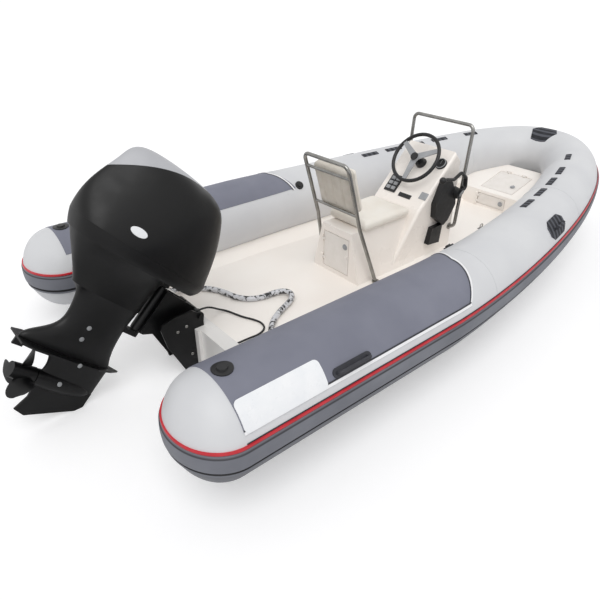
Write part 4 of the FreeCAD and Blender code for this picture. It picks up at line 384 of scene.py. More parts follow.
def gelcoat(name, colours, roughness, tread=False):
    """Polyester gelcoat from a polished mould: glossy with slight orange peel. A sole has a square tread."""
    material, tree, shader, place = start_material(name, colours[0], roughness, Coat_Weight=0.25,
                                                   Coat_Roughness=0.12)
    tree.links.new(tint(tree, place, colours, 600), shader.inputs["Base Color"])
    vary_gloss(tree, shader, place, roughness - 0.05, roughness + 0.08, 220)
    # Peel about 18 mm from wave to wave
    peel = add_node(tree, "ShaderNodeTexNoise", Vector=place, Scale=55.0, Detail=1.0)
    height = peel.outputs["Fac"]
    if tread:
        # The squares are 9 mm, on level faces alone
        grid = add_node(tree, "ShaderNodeTexVoronoi", {"distance": "CHEBYCHEV"}, Vector=place,
                        Scale=CELL_SPAN / 9, Randomness=0.0)
        geometry = add_node(tree, "ShaderNodeNewGeometry")
        facing = add_node(tree, "ShaderNodeSeparateXYZ", Vector=geometry.outputs["Normal"])
        level = within(tree, facing.outputs["Z"], 0.97, 2.0, 0.01)
        raised = add_node(tree, "ShaderNodeMath", {"operation": "MULTIPLY"}, _0=grid.outputs["Distance"],
                          _1=level)
        both = add_node(tree, "ShaderNodeMath", {"operation": "ADD"}, _0=raised.outputs["Value"], _1=height)
        height = both.outputs["Value"]
    relief(tree, shader, height, 0.18 if tread else 0.05, 0.6)
    return material


def marine_vinyl():
    """Embossed vinyl over foam: cream, soft sheen, with a leather grain."""
    material, tree, shader, place = start_material("Cream_marine_vinyl", "#EFE9DF", 0.45, Sheen_Weight=0.15,
                                                   Sheen_Roughness=0.4)
    tree.links.new(tint(tree, place, ("#ECE5DA", "#F2EDE4"), 200), shader.inputs["Base Color"])
    vary_gloss(tree, shader, place, 0.38, 0.52, 60)
    # Real grain is about 1 mm and is drawn at 3 mm to show
    pebbles = add_node(tree, "ShaderNodeTexVoronoi", {"feature": "SMOOTH_F1"}, Vector=place,
                       Scale=CELL_SPAN / 3)
    relief(tree, shader, pebbles.outputs["Distance"], 0.3, 0.25)
    return material


def polished_steel():
    """Stainless tube, polished: bright, with faint small marks from handling."""
    material, tree, shader, place = start_material("Polished_stainless_steel", "#8E8D8A", 0.16, Metallic=1.0)
    tree.links.new(tint(tree, place, ("#858481", "#9B9A97"), 80), shader.inputs["Base Color"])
    vary_gloss(tree, shader, place, 0.10, 0.24, 35)
    # Marks about 4 mm across
    marks = add_node(tree, "ShaderNodeTexNoise", Vector=place, Scale=260.0, Detail=2.0)
    relief(tree, shader, marks.outputs["Fac"], 0.05, 0.1)
    return material


def moulded_plastic(name, colours, roughness, grain_mm=1.4, depth=0.3):
    """Injection-moulded plastic with the grain of its spark-eroded tool, which scatters its gloss."""
    material, tree, shader, place = start_material(name, colours[0], roughness, Specular_IOR_Level=0.45)
    tree.links.new(tint(tree, place, colours, 70), shader.inputs["Base Color"])
    vary_gloss(tree, shader, place, roughness - 0.06, roughness + 0.08, 30)
    pits = add_node(tree, "ShaderNodeTexNoise", Vector=place, Scale=CELL_SPAN / grain_mm, Detail=2.0)
    relief(tree, shader, pits.outputs["Fac"], depth, 0.12)
    return material


def baked_enamel(name, colours, roughness):
    """Sprayed and baked enamel on aluminium or a moulded cowl: satin, with slight peel."""
    material, tree, shader, place = start_material(name, colours[0], roughness, Specular_IOR_Level=0.28,
                                                   Coat_Weight=0.06, Coat_Roughness=0.3)
    tree.links.new(tint(tree, place, colours, 240), shader.inputs["Base Color"])
    vary_gloss(tree, shader, place, roughness - 0.06, roughness + 0.1, 90)
    # Peel about 8 mm from wave to wave
    peel = add_node(tree, "ShaderNodeTexNoise", Vector=place, Scale=120.0, Detail=1.0)
    relief(tree, shader, peel.outputs["Fac"], 0.06, 0.4)
    return material


def ribbed_rubber():
    """Black moulded rubber pads with raised bars that show as two tones."""
    material, tree, shader, place = start_material("Black_moulded_rubber", "#2A2B2F", 0.7,
                                                   Specular_IOR_Level=0.25)
    bars = add_node(tree, "ShaderNodeTexWave", {"bands_direction": "X"}, Vector=place, Scale=WAVE_SPAN / 48)
    base = tint(tree, place, ("#232428", "#303137"), 60)
    base = layered(tree, base, ("#55575E", within(tree, bars.outputs["Fac"], 0.62, 2.0, 0.05)))
    tree.links.new(base, shader.inputs["Base Color"])
    relief(tree, shader, bars.outputs["Fac"], 0.4, 0.8)
    return material


def film_wrapped_hose():
    """Black hose under crumpled clear film: milky and shiny, black where the film clings."""
    material, tree, shader, place = start_material("Film_wrapped_hose", "#1A1A1C", 0.22,
                                                   Specular_IOR_Level=0.6)
    folds = add_node(tree, "ShaderNodeTexNoise", Vector=place, Scale=CELL_SPAN / 38, Detail=3.0,
                     Distortion=1.2)
    milky = within(tree, folds.outputs["Fac"], 0.47, 2.0, 0.05)
    base = tint(tree, place, ("#151517", "#242427"), 60)
    tree.links.new(layered(tree, base, ("#D3D4D8", milky)), shader.inputs["Base Color"])
    relief(tree, shader, folds.outputs["Fac"], 0.6, 4.0)
    return material


FINISHES = {
    "tube_fabric": tube_cloth,
    "patch_fabric": patch_cloth,
    "strake_rubber": strake_rubber,
    "bead_red": bead_rubber,
    # Cooler than the deck, and glossier
    "hull_gelcoat": lambda: gelcoat("White_hull_gelcoat", ("#E6E4E1", "#ECEAE7"), 0.22),
    # Warmer and duller than the hull, with a tread
    "deck_gelcoat": lambda: gelcoat("Warm_white_deck_gelcoat", ("#FAF3EC", "#FEF9F3"), 0.35, tread=True),
    "console_gelcoat": lambda: gelcoat("Console_gelcoat", ("#F8F1EA", "#FDF7F1"), 0.28),
    "cushion_vinyl": marine_vinyl,
    "stainless": polished_steel,
    # Charcoal with a soft, broken gloss
    "black_plastic": lambda: moulded_plastic("Black_moulded_ABS", ("#131314", "#1B1B1D"), 0.42),
    "engine_paint": lambda: baked_enamel("Black_leg_enamel", ("#050506", "#0B0B0C"), 0.42),
    "cowl_paint": lambda: baked_enamel("Black_cowl_enamel", ("#050505", "#0C0C0D"), 0.42),
    "cap_silver": lambda: baked_enamel("Silver_cowl_lacquer", ("#ADAEB2", "#B9BABE"), 0.35),
    # Sand-cast and painted, so coarse and dull
    "engine_block": lambda: moulded_plastic("Cast_engine_block", ("#4A4A4C", "#565658"), 0.6, 3.0),
    "panel_plastic": lambda: moulded_plastic("White_hatch_ASA", ("#ECE7E1", "#F1ECE7"), 0.35),
    "pad_rubber": ribbed_rubber,
    # Ripples of 6 mm stand for the corrugations
    "hose_plastic": lambda: moulded_plastic("Black_corrugated_hose", ("#141416", "#1E1E21"), 0.5, 6.0, 0.5),
    # A darker copy of the cream vinyl: painted shade for the backrest pad's back and sides
    "painted_shade_back_vinyl": lambda: moulded_plastic("Beige_grey_painted_shade_vinyl", ("#CBC4B9", "#D5CFC5"), 0.5, 3.0),
    "film_wrapped_hose": film_wrapped_hose,
    # White tape along the wear cloth's edge, partly a painted highlight there
    "white_tape_and_highlight": lambda: moulded_plastic("White_edging_tape_and_highlight", ("#F2F2F4", "#F7F7F8"), 0.45),
    "plate_white": lambda: moulded_plastic("White_label_vinyl", ("#EFF1F4", "#F5F6F8"), 0.3),
    # Dark PVC for the handles and the dark line by the edging, and also painted shade for the lines along the
    # bead and the strake
    "dark_pvc_and_shade_lines": lambda: moulded_plastic("Dark_PVC_and_painted_shade_lines", ("#2C2D33", "#36373D"), 0.55),
    "bright_metal": lambda: baked_enamel("Cast_anode_zinc", ("#8E9092", "#A4A6A8"), 0.45),
    "grey_plastic": lambda: moulded_plastic("Grey_moulded_ABS", ("#9B9DA0", "#A8AAAD"), 0.4),
}
MADE = {}


def finish(name):
    """A finish, made once."""
    if name not in MADE:
        MADE[name] = FINISHES[name]()
    return MADE[name]


# Places on the boat

def half_beam(reach):
    """How far out a side tube's centreline lies at that reach, and the share of its curve passed there."""
    share = min(max((reach - CURVE_START) / BOW_RUN, 0.0), 0.98)
    return TUBE_SIDE * (1 - share ** FORE_SHARE) ** (1 / SIDE_SHARE), share


def tube_point(side, reach, angle, proud):
    """A point on a side tube: reach along the boat, angle up from its outboard side in degrees."""
    out, share = half_beam(reach)
    slope = (half_beam(reach + 0.002)[0] - half_beam(reach - 0.002)[0]) / 0.004
    outward = Vector((-slope, side, 0)).normalized()
    radius = TUBE_RADIUS - NOSE_SLIMMER * share + proud
    turn = math.radians(angle)
    centre = Vector((reach, side * out, TUBE_HEIGHT + SHEER_RISE * share ** 2))
    return centre + outward * radius * math.cos(turn) + Vector((0, 0, radius * math.sin(turn)))


def patch_edge(word, turn):
    """Where the forward edge of a wear cloth crosses that angle."""
    if turn < 90:
        lean = EDGE_LEAN_OUT * (math.sin(math.radians(turn)) - 1)
    else:
        lean = EDGE_LEAN_IN * abs(math.cos(math.radians(turn)))
    return STERN_SEAM + PATCH_LENGTH[word] + lean * TUBE_RADIUS


def placed_on(node, origin, direction, along=(1, 0, 0)):
    """A place where a line meets a CAD node, with Z out of its face and X as near as possible to along."""
    hit, place, normal, face = frame["nodes"][node].ray_cast(Vector(origin), Vector(direction).normalized())
    if not hit:
        raise RuntimeError(f"nothing to seat a piece on at {origin} on {node}")
    flat = (Vector(along) - normal * Vector(along).dot(normal)).normalized()
    return frame_on(place, flat, normal)


def ribbon(name, steps, across, line):
    """A thin band on a tube: line gives the point for a share along the band and a share across it."""
    piece = start(bpy.ops.mesh.primitive_grid_add, name, x_subdivisions=steps, y_subdivisions=across, size=1)
    for point in piece.data.vertices:
        point.co = line(point.co.x + 0.5, point.co.y)
    edit(piece, "FACE", lambda face: True, (bpy.ops.mesh.normals_make_consistent, {"inside": False}))
    modify(piece, "SOLIDIFY", thickness=RIBBON_THICK, offset=0.0)
    edit(piece, "FACE", lambda face: True, (bpy.ops.mesh.normals_make_consistent, {"inside": False}))
    return piece


def puff(piece, pressure, cap):
    """Swells a pad as stuffing does, by cloth simulation, and holds each point near where it started."""
    modify(piece, "REMESH", mode="VOXEL", voxel_size=0.006)
    begun = [point.co.copy() for point in piece.data.vertices]
    only(piece)
    cover = piece.modifiers.new("cover", "CLOTH")
    cover.settings.use_pressure = True
    cover.settings.uniform_pressure_force = pressure
    cover.settings.quality = 5
    cover.settings.effector_weights.gravity = 0
    cover.point_cache.frame_start = 1
    cover.point_cache.frame_end = SWELL_FRAMES
    for step in range(1, SWELL_FRAMES + 1):
        bpy.context.scene.frame_set(step)
    bpy.ops.object.modifier_apply(modifier=cover.name)
    bpy.context.scene.frame_set(1)
    for point, home in zip(piece.data.vertices, begun):
        move = point.co - home
        if move.length > cap:
            point.co = home + move.normalized() * cap


# Sizes and colours that a user would change

def colour_of(name, hex_colour, description):
    """A colour property."""
    return FloatVectorProperty(name=name, subtype="COLOR", size=4, default=linear(hex_colour),
                               description=description)


class RibColours(bpy.types.PropertyGroup):
    """The tones that each coloured cloth and rubber drifts between."""
    tube_dark: colour_of("Tube, darker tone", "#D2D3D6", "Darker tone of the tubes' cloth")
    tube_light: colour_of("Tube, lighter tone", "#DADBDD", "Lighter tone of the tubes' cloth")
    patch_dark: colour_of("Wear cloth, darker tone", "#797B88", "Darker tone of the wear cloth")
    patch_light: colour_of("Wear cloth, lighter tone", "#828491", "Lighter tone of the wear cloth")
    bead_dark: colour_of("Bead, darker tone", "#BE222E", "Darker tone of the red bead")
    bead_light: colour_of("Bead, lighter tone", "#CC333D", "Lighter tone of the red bead")


class RibSoft(bpy.types.PropertyGroup):
    """The seat cushion and the backrest pad."""
    pressure: FloatProperty(name="Filling pressure", default=4.0,
                            description="How hard the foam fills its cover")
    swell: FloatProperty(name="Swell", unit="LENGTH", default=0.009,
                         description="The most that the cover moves out")
    channels: IntProperty(name="Channels", default=3, description="Sewn channels in the backrest pad")
    channel_depth: FloatProperty(name="Channel depth", unit="LENGTH", default=0.010,
                                 description="Depth of a sewn channel")


class RibTrim(bpy.types.PropertyGroup):
    """Edging and small fittings."""
    edging: FloatProperty(name="Edging width", unit="LENGTH", default=0.013,
                          description="Width of the white edging")
    piping: FloatProperty(name="Dark line width", unit="LENGTH", default=0.007,
                          description="Width of the dark line beside the edging")
    bolt: FloatProperty(name="Bolt size", unit="LENGTH", default=0.009,
                        description="Radius of the leg's bolt heads")
    latch: FloatProperty(name="Latch size", unit="LENGTH", default=0.021,
                         description="Radius of the hatch latches")


class RibStage(bpy.types.PropertyGroup):
    """The plain studio and the camera."""
    eye: FloatVectorProperty(name="Camera place", subtype="TRANSLATION", unit="LENGTH",
                             default=(-2.878, -2.431, 2.010), description="Where the camera stands")
    yaw: FloatProperty(name="Camera heading", subtype="ANGLE", default=math.radians(50.15),
                       description="Heading round from +X, to port")
    pitch: FloatProperty(name="Camera pitch", subtype="ANGLE", default=math.radians(31.45),
                         description="Down from the horizon")
    focal_share: FloatProperty(name="Focal length", default=549.0 / 600.0,
                               description="Focal length as a share of the picture's width")
    floor_size: FloatProperty(name="Floor size", unit="LENGTH", default=160.0,
                              description="Side of the square floor")
    sky_level: FloatProperty(name="Sky light", default=0.62, description="Even light from all sides")
    sun_level: FloatProperty(name="Sun light", default=1.25, description="Soft light from above and aft")
    sun_spread: FloatProperty(name="Sun spread", subtype="ANGLE", default=math.radians(45),
                              description="How soft the sun's shadows are")


# The pieces, in the order in which they are made

class RIB_OT_stage(bpy.types.Operator):
    """Adds the floor at the waterline, soft light and the camera"""
    bl_idname = "rib.stage"
    bl_label = "Studio"

    def floor(self, stage):
        floor = start(bpy.ops.mesh.primitive_plane_add, "studio_floor", size=stage.floor_size,
                      location=(0, 0, 0))
        material, tree, shader, place = start_material("Matt_studio_floor", "#E9E9EA", 0.9,
                                                       Specular_IOR_Level=0.1)
        tree.links.new(tint(tree, place, ("#E8E8E9", "#EAEAEB"), 4000), shader.inputs["Base Color"])
        path = add_node(tree, "ShaderNodeLightPath")
        seen = add_node(tree, "ShaderNodeMath", {"operation": "MULTIPLY"},
                        _0=path.outputs["Is Camera Ray"], _1=0.3)
        shader.inputs["Emission Color"].default_value = (1, 1, 1, 1)
        tree.links.new(seen.outputs["Value"], shader.inputs["Emission Strength"])
        floor.data.materials.append(material)

    def light(self, stage):
        world = bpy.data.worlds.new("Soft_white_room")
        world.use_nodes = True
        bpy.context.scene.world = world
        tree = world.node_tree
        background = tree.nodes["Background"]
        background.inputs["Color"].default_value = (1, 1, 1, 1)
        path = add_node(tree, "ShaderNodeLightPath")
        seen = path.outputs["Is Camera Ray"]
        for ray in ("Is Glossy Ray", "Is Transmission Ray"):
            either = add_node(tree, "ShaderNodeMath", {"operation": "MAXIMUM"}, _0=seen,
                              _1=path.outputs[ray])
            seen = either.outputs["Value"]
        level = add_node(tree, "ShaderNodeMapRange", Value=seen, To_Min=stage.sky_level, To_Max=0.97)
        tree.links.new(level.outputs["Result"], background.inputs["Strength"])
        bpy.ops.object.light_add(type="SUN", location=(-1.5, -2.5, 6.0))
        lamp = bpy.context.object
        lamp.name = "key_sun"
        lamp.data.energy = stage.sun_level
        lamp.data.angle = stage.sun_spread
        lamp.rotation_euler = Vector((0.35, 0.45, -1.0)).to_track_quat("-Z", "Y").to_euler()

    def camera(self, stage):
        bpy.ops.object.camera_add(location=stage.eye)
        camera = bpy.context.object
        camera.name = "photo_camera"
        level = math.cos(stage.pitch)
        look = Vector((level * math.cos(stage.yaw), level * math.sin(stage.yaw), -math.sin(stage.pitch)))
        camera.rotation_euler = look.to_track_quat("-Z", "Y").to_euler()
        camera.data.sensor_width = SENSOR_WIDTH
        camera.data.lens = SENSOR_WIDTH * stage.focal_share
        camera.data.clip_end = 200.0
        bpy.context.scene.camera = camera

    def execute(self, context):
        stage = context.scene.rib_stage
        self.floor(stage)
        self.light(stage)
        self.camera(stage)
        context.scene.view_settings.view_transform = "Standard"
        return {"FINISHED"}


class RIB_OT_cords(bpy.types.Operator):
    """Lays the engine's rigging hose and the control cable on the cockpit sole"""
    bl_idname = "rib.cords"
    bl_label = "Hose and cable"

    # Control points in metres: forward of the transom's inner face, to port, above the sole
    HOSE = ((0.042, 0.455, 0.038), (0.120, 0.455, 0.038), (0.200, 0.425, 0.018), (0.272, 0.355, 0.018),
            (0.318, 0.262, 0.018), (0.338, 0.165, 0.018), (0.385, 0.082, 0.018), (0.465, 0.042, 0.018),
            (0.550, 0.040, 0.020), (0.618, 0.014, 0.026), (0.640, -0.048, 0.030), (0.598, -0.105, 0.026),
            (0.512, -0.138, 0.020), (0.420, -0.178, 0.018), (0.332, -0.238, 0.018), (0.268, -0.318, 0.018),
            (0.210, -0.392, 0.018), (0.130, -0.448, 0.038), (0.042, -0.448, 0.038))
    CABLE = ((0.042, 0.104, 0.066), (0.090, 0.104, 0.066), (0.138, 0.112, 0.042), (0.178, 0.106, 0.016),
             (0.214, 0.078, 0.006), (0.232, 0.022, 0.006), (0.252, -0.048, 0.006), (0.288, -0.116, 0.006),
             (0.306, -0.180, 0.006), (0.282, -0.240, 0.006), (0.216, -0.268, 0.008), (0.138, -0.274, 0.020),
             (0.042, -0.274, 0.020))
    ROUTE_START = Vector((-1.600, 0, 0.1653))

    def lay(self, name, route, diameter, length, material, node):
        points = [self.ROUTE_START + Vector(place) for place in route]
        bpy.ops.object.select_all(action="DESELECT")
        bpy.ops.curve.primitive_nurbs_path_add()
        cord = bpy.context.object
        cord.name = name
        line = cord.data
        line.splines.clear()
        spline = line.splines.new("NURBS")
        spline.points.add(len(points) - 1)
        for point, place in zip(spline.points, points):
            point.co = (*place, 1)
        # Set after the points, because set before they leave straight runs
        spline.order_u = 3
        spline.use_endpoint_u = True
        line.dimensions = "3D"
        line.bevel_depth = diameter / 2
        line.bevel_resolution = 6
        line.resolution_u = 16
        line.use_fill_caps = True
        line.materials.append(finish(material))
        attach(cord, "boat")
        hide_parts(node)
        tuple(points[0])

    def execute(self, context):
        self.lay("rigging_hose_cover", self.HOSE, 0.036, 1.61, "film_wrapped_hose", "rigging_hose")
        self.lay("control_cable_cover", self.CABLE, 0.012, 0.77, "hose_plastic", "control_cable")
        return {"FINISHED"}


class RIB_OT_finish_nodes(bpy.types.Operator):
    """Gives every CAD node the finish of its material slot"""
    bl_idname = "rib.finish_nodes"
    bl_label = "Finish the moulded and metal parts"

    def execute(self, context):
        for row in frame["record"]["subparts"]:
            node = frame["nodes"][row["node"]]
            node.data.materials.clear()
            slot = "dark_pvc_and_shade_lines" if row["node"] == "side_handles" else row["material_slot"]
            node.data.materials.append(finish(slot))
        wheel = frame["nodes"]["steering_wheel"]
        wheel.data.materials.append(finish("grey_plastic"))
        for face in wheel.data.polygons:
            if SPOKES_FROM < (face.center - WHEEL_CENTRE).length < SPOKES_TO:
                face.material_index = 1
        return {"FINISHED"}


class RIB_OT_cushions(bpy.types.Operator):
    """Makes the stuffed seat cushion and the backrest pad with its sewn channels"""
    bl_idname = "rib.cushions"
    bl_label = "Seat cushion and backrest pad"

    def seat(self, soft):
        low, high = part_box("seat_cushion")
        size = high - low
        middle = (low + high) / 2
        pad = bevelled_block("seat_cushion_cover", (size.x - 0.012, size.y - 0.012, size.z - 0.006), middle,
                             0.022, 4)
        bpy.ops.object.transform_apply(location=True, rotation=False, scale=False)
        puff(pad, soft.pressure, soft.swell)
        for point in pad.data.vertices:
            # Flat where it rests, with a sewn seam 20 mm under its top
            point.co.z = max(point.co.z, low.z + 0.0005)
            edge = max(abs(point.co.x - middle.x) / (size.x / 2), abs(point.co.y - middle.y) / (size.y / 2))
            if edge > 0.86:
                point.co.z -= 0.0025 * math.exp(-((point.co.z - high.z + 0.020) / 0.004) ** 2)
        modify(pad, "SUBSURF", levels=1, render_levels=1)
        settle(pad, "boat", finish("cushion_vinyl"), smooth=60)
        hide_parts("seat_cushion")

    def backrest(self, soft):
        thick, wide, tall = PAD_SIZE
        middle = PAD_CORNER + PAD_OUT * thick / 2 + PAD_RISE * tall / 2
        pad = bevelled_block("backrest_pad_cover", (thick - 0.010, wide - 0.012, tall - 0.012), (0, 0, 0),
                             0.026, 4)
        puff(pad, soft.pressure, soft.swell * 0.6)
        seams = [wide * line / (soft.channels + 1) - wide / 2 for line in range(1, soft.channels + 1)]
        sewn = tall / 2 - 0.030
        for point in pad.data.vertices:
            x, y, z = point.co
            if abs(z) < sewn and abs(x) > 0.02:
                ends = min(1.0, (sewn - abs(z)) / 0.02)
                fall = sum(math.exp(-((y - seam) / 0.006) ** 2) for seam in seams)
                point.co.x -= math.copysign(soft.channel_depth * fall * ends, x)
        modify(pad, "SUBSURF", levels=1, render_levels=1)
        settle(pad, "boat", finish("cushion_vinyl"), frame_on(middle, PAD_OUT, PAD_RISE), 60)
        # The pad's back and sides take the darker vinyl as painted shade
        pad.data.materials.append(finish("painted_shade_back_vinyl"))
        for face in pad.data.polygons:
            if face.normal.dot(PAD_OUT) < 0.35 and (face.center - PAD_CORNER).dot(PAD_OUT) < thick * 0.62:
                face.material_index = 1
        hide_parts("backrest_pad")

    def execute(self, context):
        self.seat(context.scene.rib_soft)
        self.backrest(context.scene.rib_soft)
        return {"FINISHED"}


class RIB_OT_tube_trim(bpy.types.Operator):
    """Adds the wear cloth's edging, whose white tape is partly a painted highlight, painted shade lines along
    the bead and the strake, the seam tapes and the blank label plate to the tubes
    """
    bl_idname = "rib.tube_trim"
    bl_label = "Tube edging, seams and label plate"

    # Angles in degrees up from a tube's outboard side, and lengths in metres
    # Where the painted shade in the crease above the bead and the painted shadow under the strake's lower
    # edge lie
    SHADE_ABOVE_BEAD = (14.2, 15.4)
    SHADOW_BELOW_BEAD = (-17.6, -16.2)
    SHADE_LINE_LENGTH = 4.0
    SEAMS = (-0.36, 0.92)
    TAPE_WIDTH = 0.036
    TAPE_ARC = (18, 148)
    PLATE_LENGTH = 0.427
    PLATE_HEIGHT = 0.135
    PLATE_CORNER = 0.024
    PLATE_REACH = -1.8535
    PLATE_TURN = 39.5
    PLATE_PROUD = 0.0062
    PLATE_THICK = 0.0040
    PLATE_STRIPS = 30

    def edging(self, word, side, name, width, shift, material):
        """One line along a wear cloth's forward edge and its lower edge."""
        def fore(u, v):
            turn = PATCH_LOW + (PATCH_HIGH - PATCH_LOW) * u
            return tube_point(side, patch_edge(word, turn) + shift + v * width, turn, EDGING_PROUD)

        def low(u, v):
            turn = PATCH_LOW - math.degrees((shift + v * width) / TUBE_RADIUS)
            # The lower line runs 10 mm on, into the forward one
            reach = STERN_SEAM + u * (patch_edge(word, PATCH_LOW) - STERN_SEAM + 0.010)
            return tube_point(side, reach, turn, EDGING_PROUD)
        bands = [ribbon(f"{word}_{name}_fore", 60, 3, fore), ribbon(f"{word}_{name}_low", 60, 3, low)]
        settle(joined(bands, f"{word}_{name}"), "boat", finish(material))

    def shade_line(self, word, side, name, arc):
        """A thin dark line along a tube between two angles: painted shade in the crease above the bead, and
        painted shadow under the strake's lower edge.
        """
        low, high = arc

        def line(u, v):
            turn = low + (high - low) * (v + 0.5)
            return tube_point(side, STERN_SEAM + u * self.SHADE_LINE_LENGTH, turn, 0.0012)
        settle(ribbon(f"{word}_line_{name}", 160, 2, line), "boat", finish("dark_pvc_and_shade_lines"))

    def seam_tapes(self, word, side):
        """Cloth tape over the seams between the tube's chambers."""
        low, high = self.TAPE_ARC
        tapes = []
        for seam in self.SEAMS:
            def tape(u, v, seam=seam):
                return tube_point(side, seam + v * self.TAPE_WIDTH, low + (high - low) * u, 0.0006)
            tapes.append(ribbon("tape", 48, 2, tape))
        settle(joined(tapes, f"{word}_seam_tapes"), "boat", finish("tube_fabric"))

    def label_plate(self):
        """The bare white plate on the starboard tube, wrapped round it."""
        plate = start(bpy.ops.mesh.primitive_plane_add, "blank_label_plate", size=1)
        plate.scale = (self.PLATE_LENGTH, self.PLATE_HEIGHT, 1)
        bpy.ops.object.transform_apply(location=False, rotation=False, scale=True)
        edit(plate, "VERT", lambda point: True,
             (bpy.ops.mesh.bevel, {"offset": self.PLATE_CORNER, "segments": 6, "affect": "VERTICES"}))
        for cut in range(1, self.PLATE_STRIPS):
            height = self.PLATE_HEIGHT * (cut / self.PLATE_STRIPS - 0.5)
            edit(plate, "FACE", lambda face: True,
                 (bpy.ops.mesh.bisect, {"plane_co": (0, height, 0), "plane_no": (0, 1, 0)}))
        for point in plate.data.vertices:
            turn = self.PLATE_TURN - math.degrees(point.co.y / TUBE_RADIUS)
            point.co = tube_point(-1, self.PLATE_REACH + point.co.x, turn, self.PLATE_PROUD)
        edit(plate, "FACE", lambda face: True, (bpy.ops.mesh.normals_make_consistent, {"inside": False}))
        modify(plate, "SOLIDIFY", thickness=self.PLATE_THICK, offset=0.0)
        settle(plate, "boat", finish("plate_white"), smooth=50)

    def execute(self, context):
        trim = context.scene.rib_trim
        for side, word in ((-1, "starboard"), (1, "port")):
            # The white edging is a tape, and partly a painted highlight along the wear cloth's edge
            self.edging(word, side, "edging", trim.edging, 0.004, "white_tape_and_highlight")
            self.edging(word, side, "dark_line", trim.piping, -0.007, "dark_pvc_and_shade_lines")
            # Painted shade in the crease above the bead and painted shadow under the strake's lower edge
            self.shade_line(word, side, "shade_above_bead", self.SHADE_ABOVE_BEAD)
            self.shade_line(word, side, "shadow_below_bead", self.SHADOW_BELOW_BEAD)
            self.seam_tapes(word, side)
        self.label_plate()
        return {"FINISHED"}


class RIB_OT_engine_trim(bpy.types.Operator):
    """Adds bolts and the blank badge to the engine"""
    bl_idname = "rib.engine_trim"
    bl_label = "Engine bolts and badge"

    # Forward of the tilt tube and above it, on the engine drawn upright
    BADGE = (-0.66, 0.22)
    LEG_BOLTS = (("leg_housing", -0.50, -0.315), ("leg_housing", -0.50, -0.38), ("gearcase", -0.456, -0.493),
                 ("gearcase", -0.456, -0.635))
    # Along the boat and above the waterline
    CLAMP_BOLTS = ((-1.813, 0.300), (-1.758, 0.314), (-1.742, 0.122))
    # A reach to starboard that lies outside the engine
    OUTSIDE = -0.6

    def side_place(self, node, along, up):
        """A place on the engine's starboard side, from its own upright measures."""
        origin = ENGINE_PLACE @ Vector((along, self.OUTSIDE, up))
        return placed_on(node, origin, (0, 1, 0), ENGINE_PLACE.to_3x3() @ Vector((1, 0, 0)))

    def execute(self, context):
        trim = context.scene.rib_trim
        badge = turned_disc("blank_badge", 0.034, 0.006, 0.0015)
        badge.scale = (1.25, 0.62, 1)
        bpy.ops.object.transform_apply(location=False, rotation=False, scale=True)
        settle(badge, "engine", finish("plate_white"),
               self.side_place("upper_cowl", *self.BADGE))
        for number, (node, along, up) in enumerate(self.LEG_BOLTS):
            bolt = turned_disc(f"leg_bolt_{number}", trim.bolt, 0.008, 0.0015, vertices=6)
            washer = turned_disc("washer", trim.bolt * 1.35, 0.003, 0.001)
            settle(joined([bolt, washer], f"leg_bolt_{number}"), "engine",
                   finish("bright_metal"), self.side_place(node, along, up))
        for number, (reach, height) in enumerate(self.CLAMP_BOLTS):
            bolt = turned_disc(f"clamp_bolt_{number}", trim.bolt * 1.2, 0.012, 0.002, vertices=6)
            settle(bolt, "boat", finish("stainless"),
                   placed_on("clamp_bracket", (reach, self.OUTSIDE, height), (0, 1, 0)))
        return {"FINISHED"}


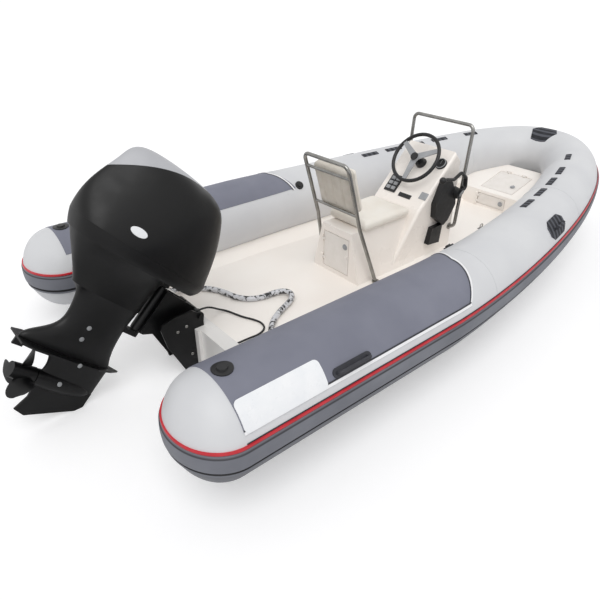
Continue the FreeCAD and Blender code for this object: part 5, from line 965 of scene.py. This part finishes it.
class RIB_OT_console_trim(bpy.types.Operator):
    """Adds switches, the gauge's ring and needle, the strip, the tray and the lever's cap, and the latches"""
    bl_idname = "rib.console_trim"
    bl_label = "Console fittings and latches"

    ROCKER_PITCH = 0.038
    COLUMN_PITCH = 0.044
    # On the dash: up it, to port, and out of it
    STRIP = (0.070, -0.035)
    TRAY = (0.112, -0.178)
    SWITCHES = (0.132, 0.111, 0.009)
    GAUGE = (0.376, -0.155, 0.0150)
    # A line that meets the lever's hub, from starboard
    LEVER_LINE = ((0.404, -0.6, 0.612), (0, 1, 0))
    # Each latch, the node that it locks, a line that meets that node, and the way its bar lies
    LATCHES = (("lid_latch", "bow_lid", (1.488, -0.09, 1.2), (0, 0, -1), (1, 0, 0)),
               ("bow_door_latch", "bow_door", (0.9, -0.095, 0.236), (1, 0, 0), (0, 1, 0)),
               ("seat_door_latch", "seat_door", (-1.2, -0.085, 0.400), (1, 0, 0), (0, 1, 0)))

    def on_dash(self, up, side, out=0.0):
        """A place on the dash, up it from its foot, to port and out of it."""
        return frame_on(DASH_FOOT + DASH_UP * up + Vector((0, side, 0)) + DASH_OUT * out, DASH_UP, DASH_OUT)

    def rocker(self, row, column):
        """One switch, tipped towards its lower end."""
        up = (row - 1) * self.ROCKER_PITCH
        rocker = bevelled_block("rocker", (0.026, 0.034, 0.010), (up, (column - 0.5) * self.COLUMN_PITCH, 0),
                                0.003)
        edit(rocker, "FACE", lambda face: face.normal.z > 0.9,
             (bpy.ops.transform.rotate, {"value": 0.16, "orient_axis": "Y",
                                         "center_override": (up, 0, 0.005)}))
        return rocker

    def latch(self, name, node, origin, direction, along, size):
        """A round rose with a finger bar, on the lid or door that it locks."""
        rose = turned_disc("rose", size, 0.006, 0.002)
        bar = bevelled_block("bar", (size * 1.5, 0.008, 0.008), (0, 0, 0.005), 0.002)
        settle(joined([rose, bar], name), node, finish("grey_plastic"),
               placed_on(node, origin, direction, along))

    def execute(self, context):
        strip = bevelled_block("dash_strip", (0.032, 0.110, 0.006), (0, 0, 0.0015), 0.002)
        settle(strip, "boat", finish("black_plastic"), self.on_dash(*self.STRIP))
        tray = bevelled_block("dash_tray", (0.055, 0.062, 0.006), (0, 0, 0.0015), 0.003)
        settle(tray, "boat", finish("grey_plastic"), self.on_dash(*self.TRAY))
        rockers = [self.rocker(row, column) for row in range(3) for column in range(2)]
        settle(joined(rockers, "switch_rockers"), "boat", finish("grey_plastic"),
               self.on_dash(*self.SWITCHES))
        ring = start(bpy.ops.mesh.primitive_torus_add, "gauge_ring", major_radius=0.036,
                     minor_radius=0.0035, major_segments=64, minor_segments=12)
        needle = bevelled_block("needle", (0.028, 0.0022, 0.002), (0.010, 0, -0.0015), 0.0005, 1)
        settle(joined([ring, needle], "gauge_ring_and_needle"), "boat", finish("bright_metal"),
               self.on_dash(*self.GAUGE))
        cap = turned_disc("lever_hub_cap", 0.027, 0.008, 0.003)
        settle(cap, "boat", finish("bright_metal"), placed_on("throttle", *self.LEVER_LINE))
        for latch in self.LATCHES:
            self.latch(*latch, context.scene.rib_trim.latch)
        return {"FINISHED"}


class RIB_PT_panel(bpy.types.Panel):
    """Lists the pieces in the order in which they are made"""
    bl_label = "Rib boat"
    bl_idname = "RIB_PT_panel"
    bl_space_type = "VIEW_3D"
    bl_region_type = "UI"
    bl_category = "Rib boat"

    def draw(self, context):
        for operator in OPERATORS:
            self.layout.operator(operator.bl_idname)
        for place in GROUPS:
            group = getattr(context.scene, place)
            for name in group.bl_rna.properties.keys():
                if name not in ("rna_type", "name"):
                    self.layout.prop(group, name)


OPERATORS = (RIB_OT_stage, RIB_OT_cords, RIB_OT_finish_nodes, RIB_OT_cushions, RIB_OT_tube_trim,
             RIB_OT_engine_trim, RIB_OT_console_trim)
GROUPS = {"rib_colours": RibColours, "rib_soft": RibSoft, "rib_trim": RibTrim, "rib_stage": RibStage}
CLASSES = (*GROUPS.values(), *OPERATORS, RIB_PT_panel)


def register():
    for made in CLASSES:
        bpy.utils.register_class(made)
    for place, group in GROUPS.items():
        setattr(bpy.types.Scene, place, PointerProperty(type=group))


def unregister():
    for place in GROUPS:
        delattr(bpy.types.Scene, place)
    for made in reversed(CLASSES):
        bpy.utils.unregister_class(made)


def main():
    register()
    bpy.ops.rib.stage()
    bpy.ops.rib.cords()
    bpy.ops.rib.finish_nodes()
    bpy.ops.rib.cushions()
    bpy.ops.rib.tube_trim()
    bpy.ops.rib.engine_trim()
    bpy.ops.rib.console_trim()


if __name__ == "__main__":
    main()
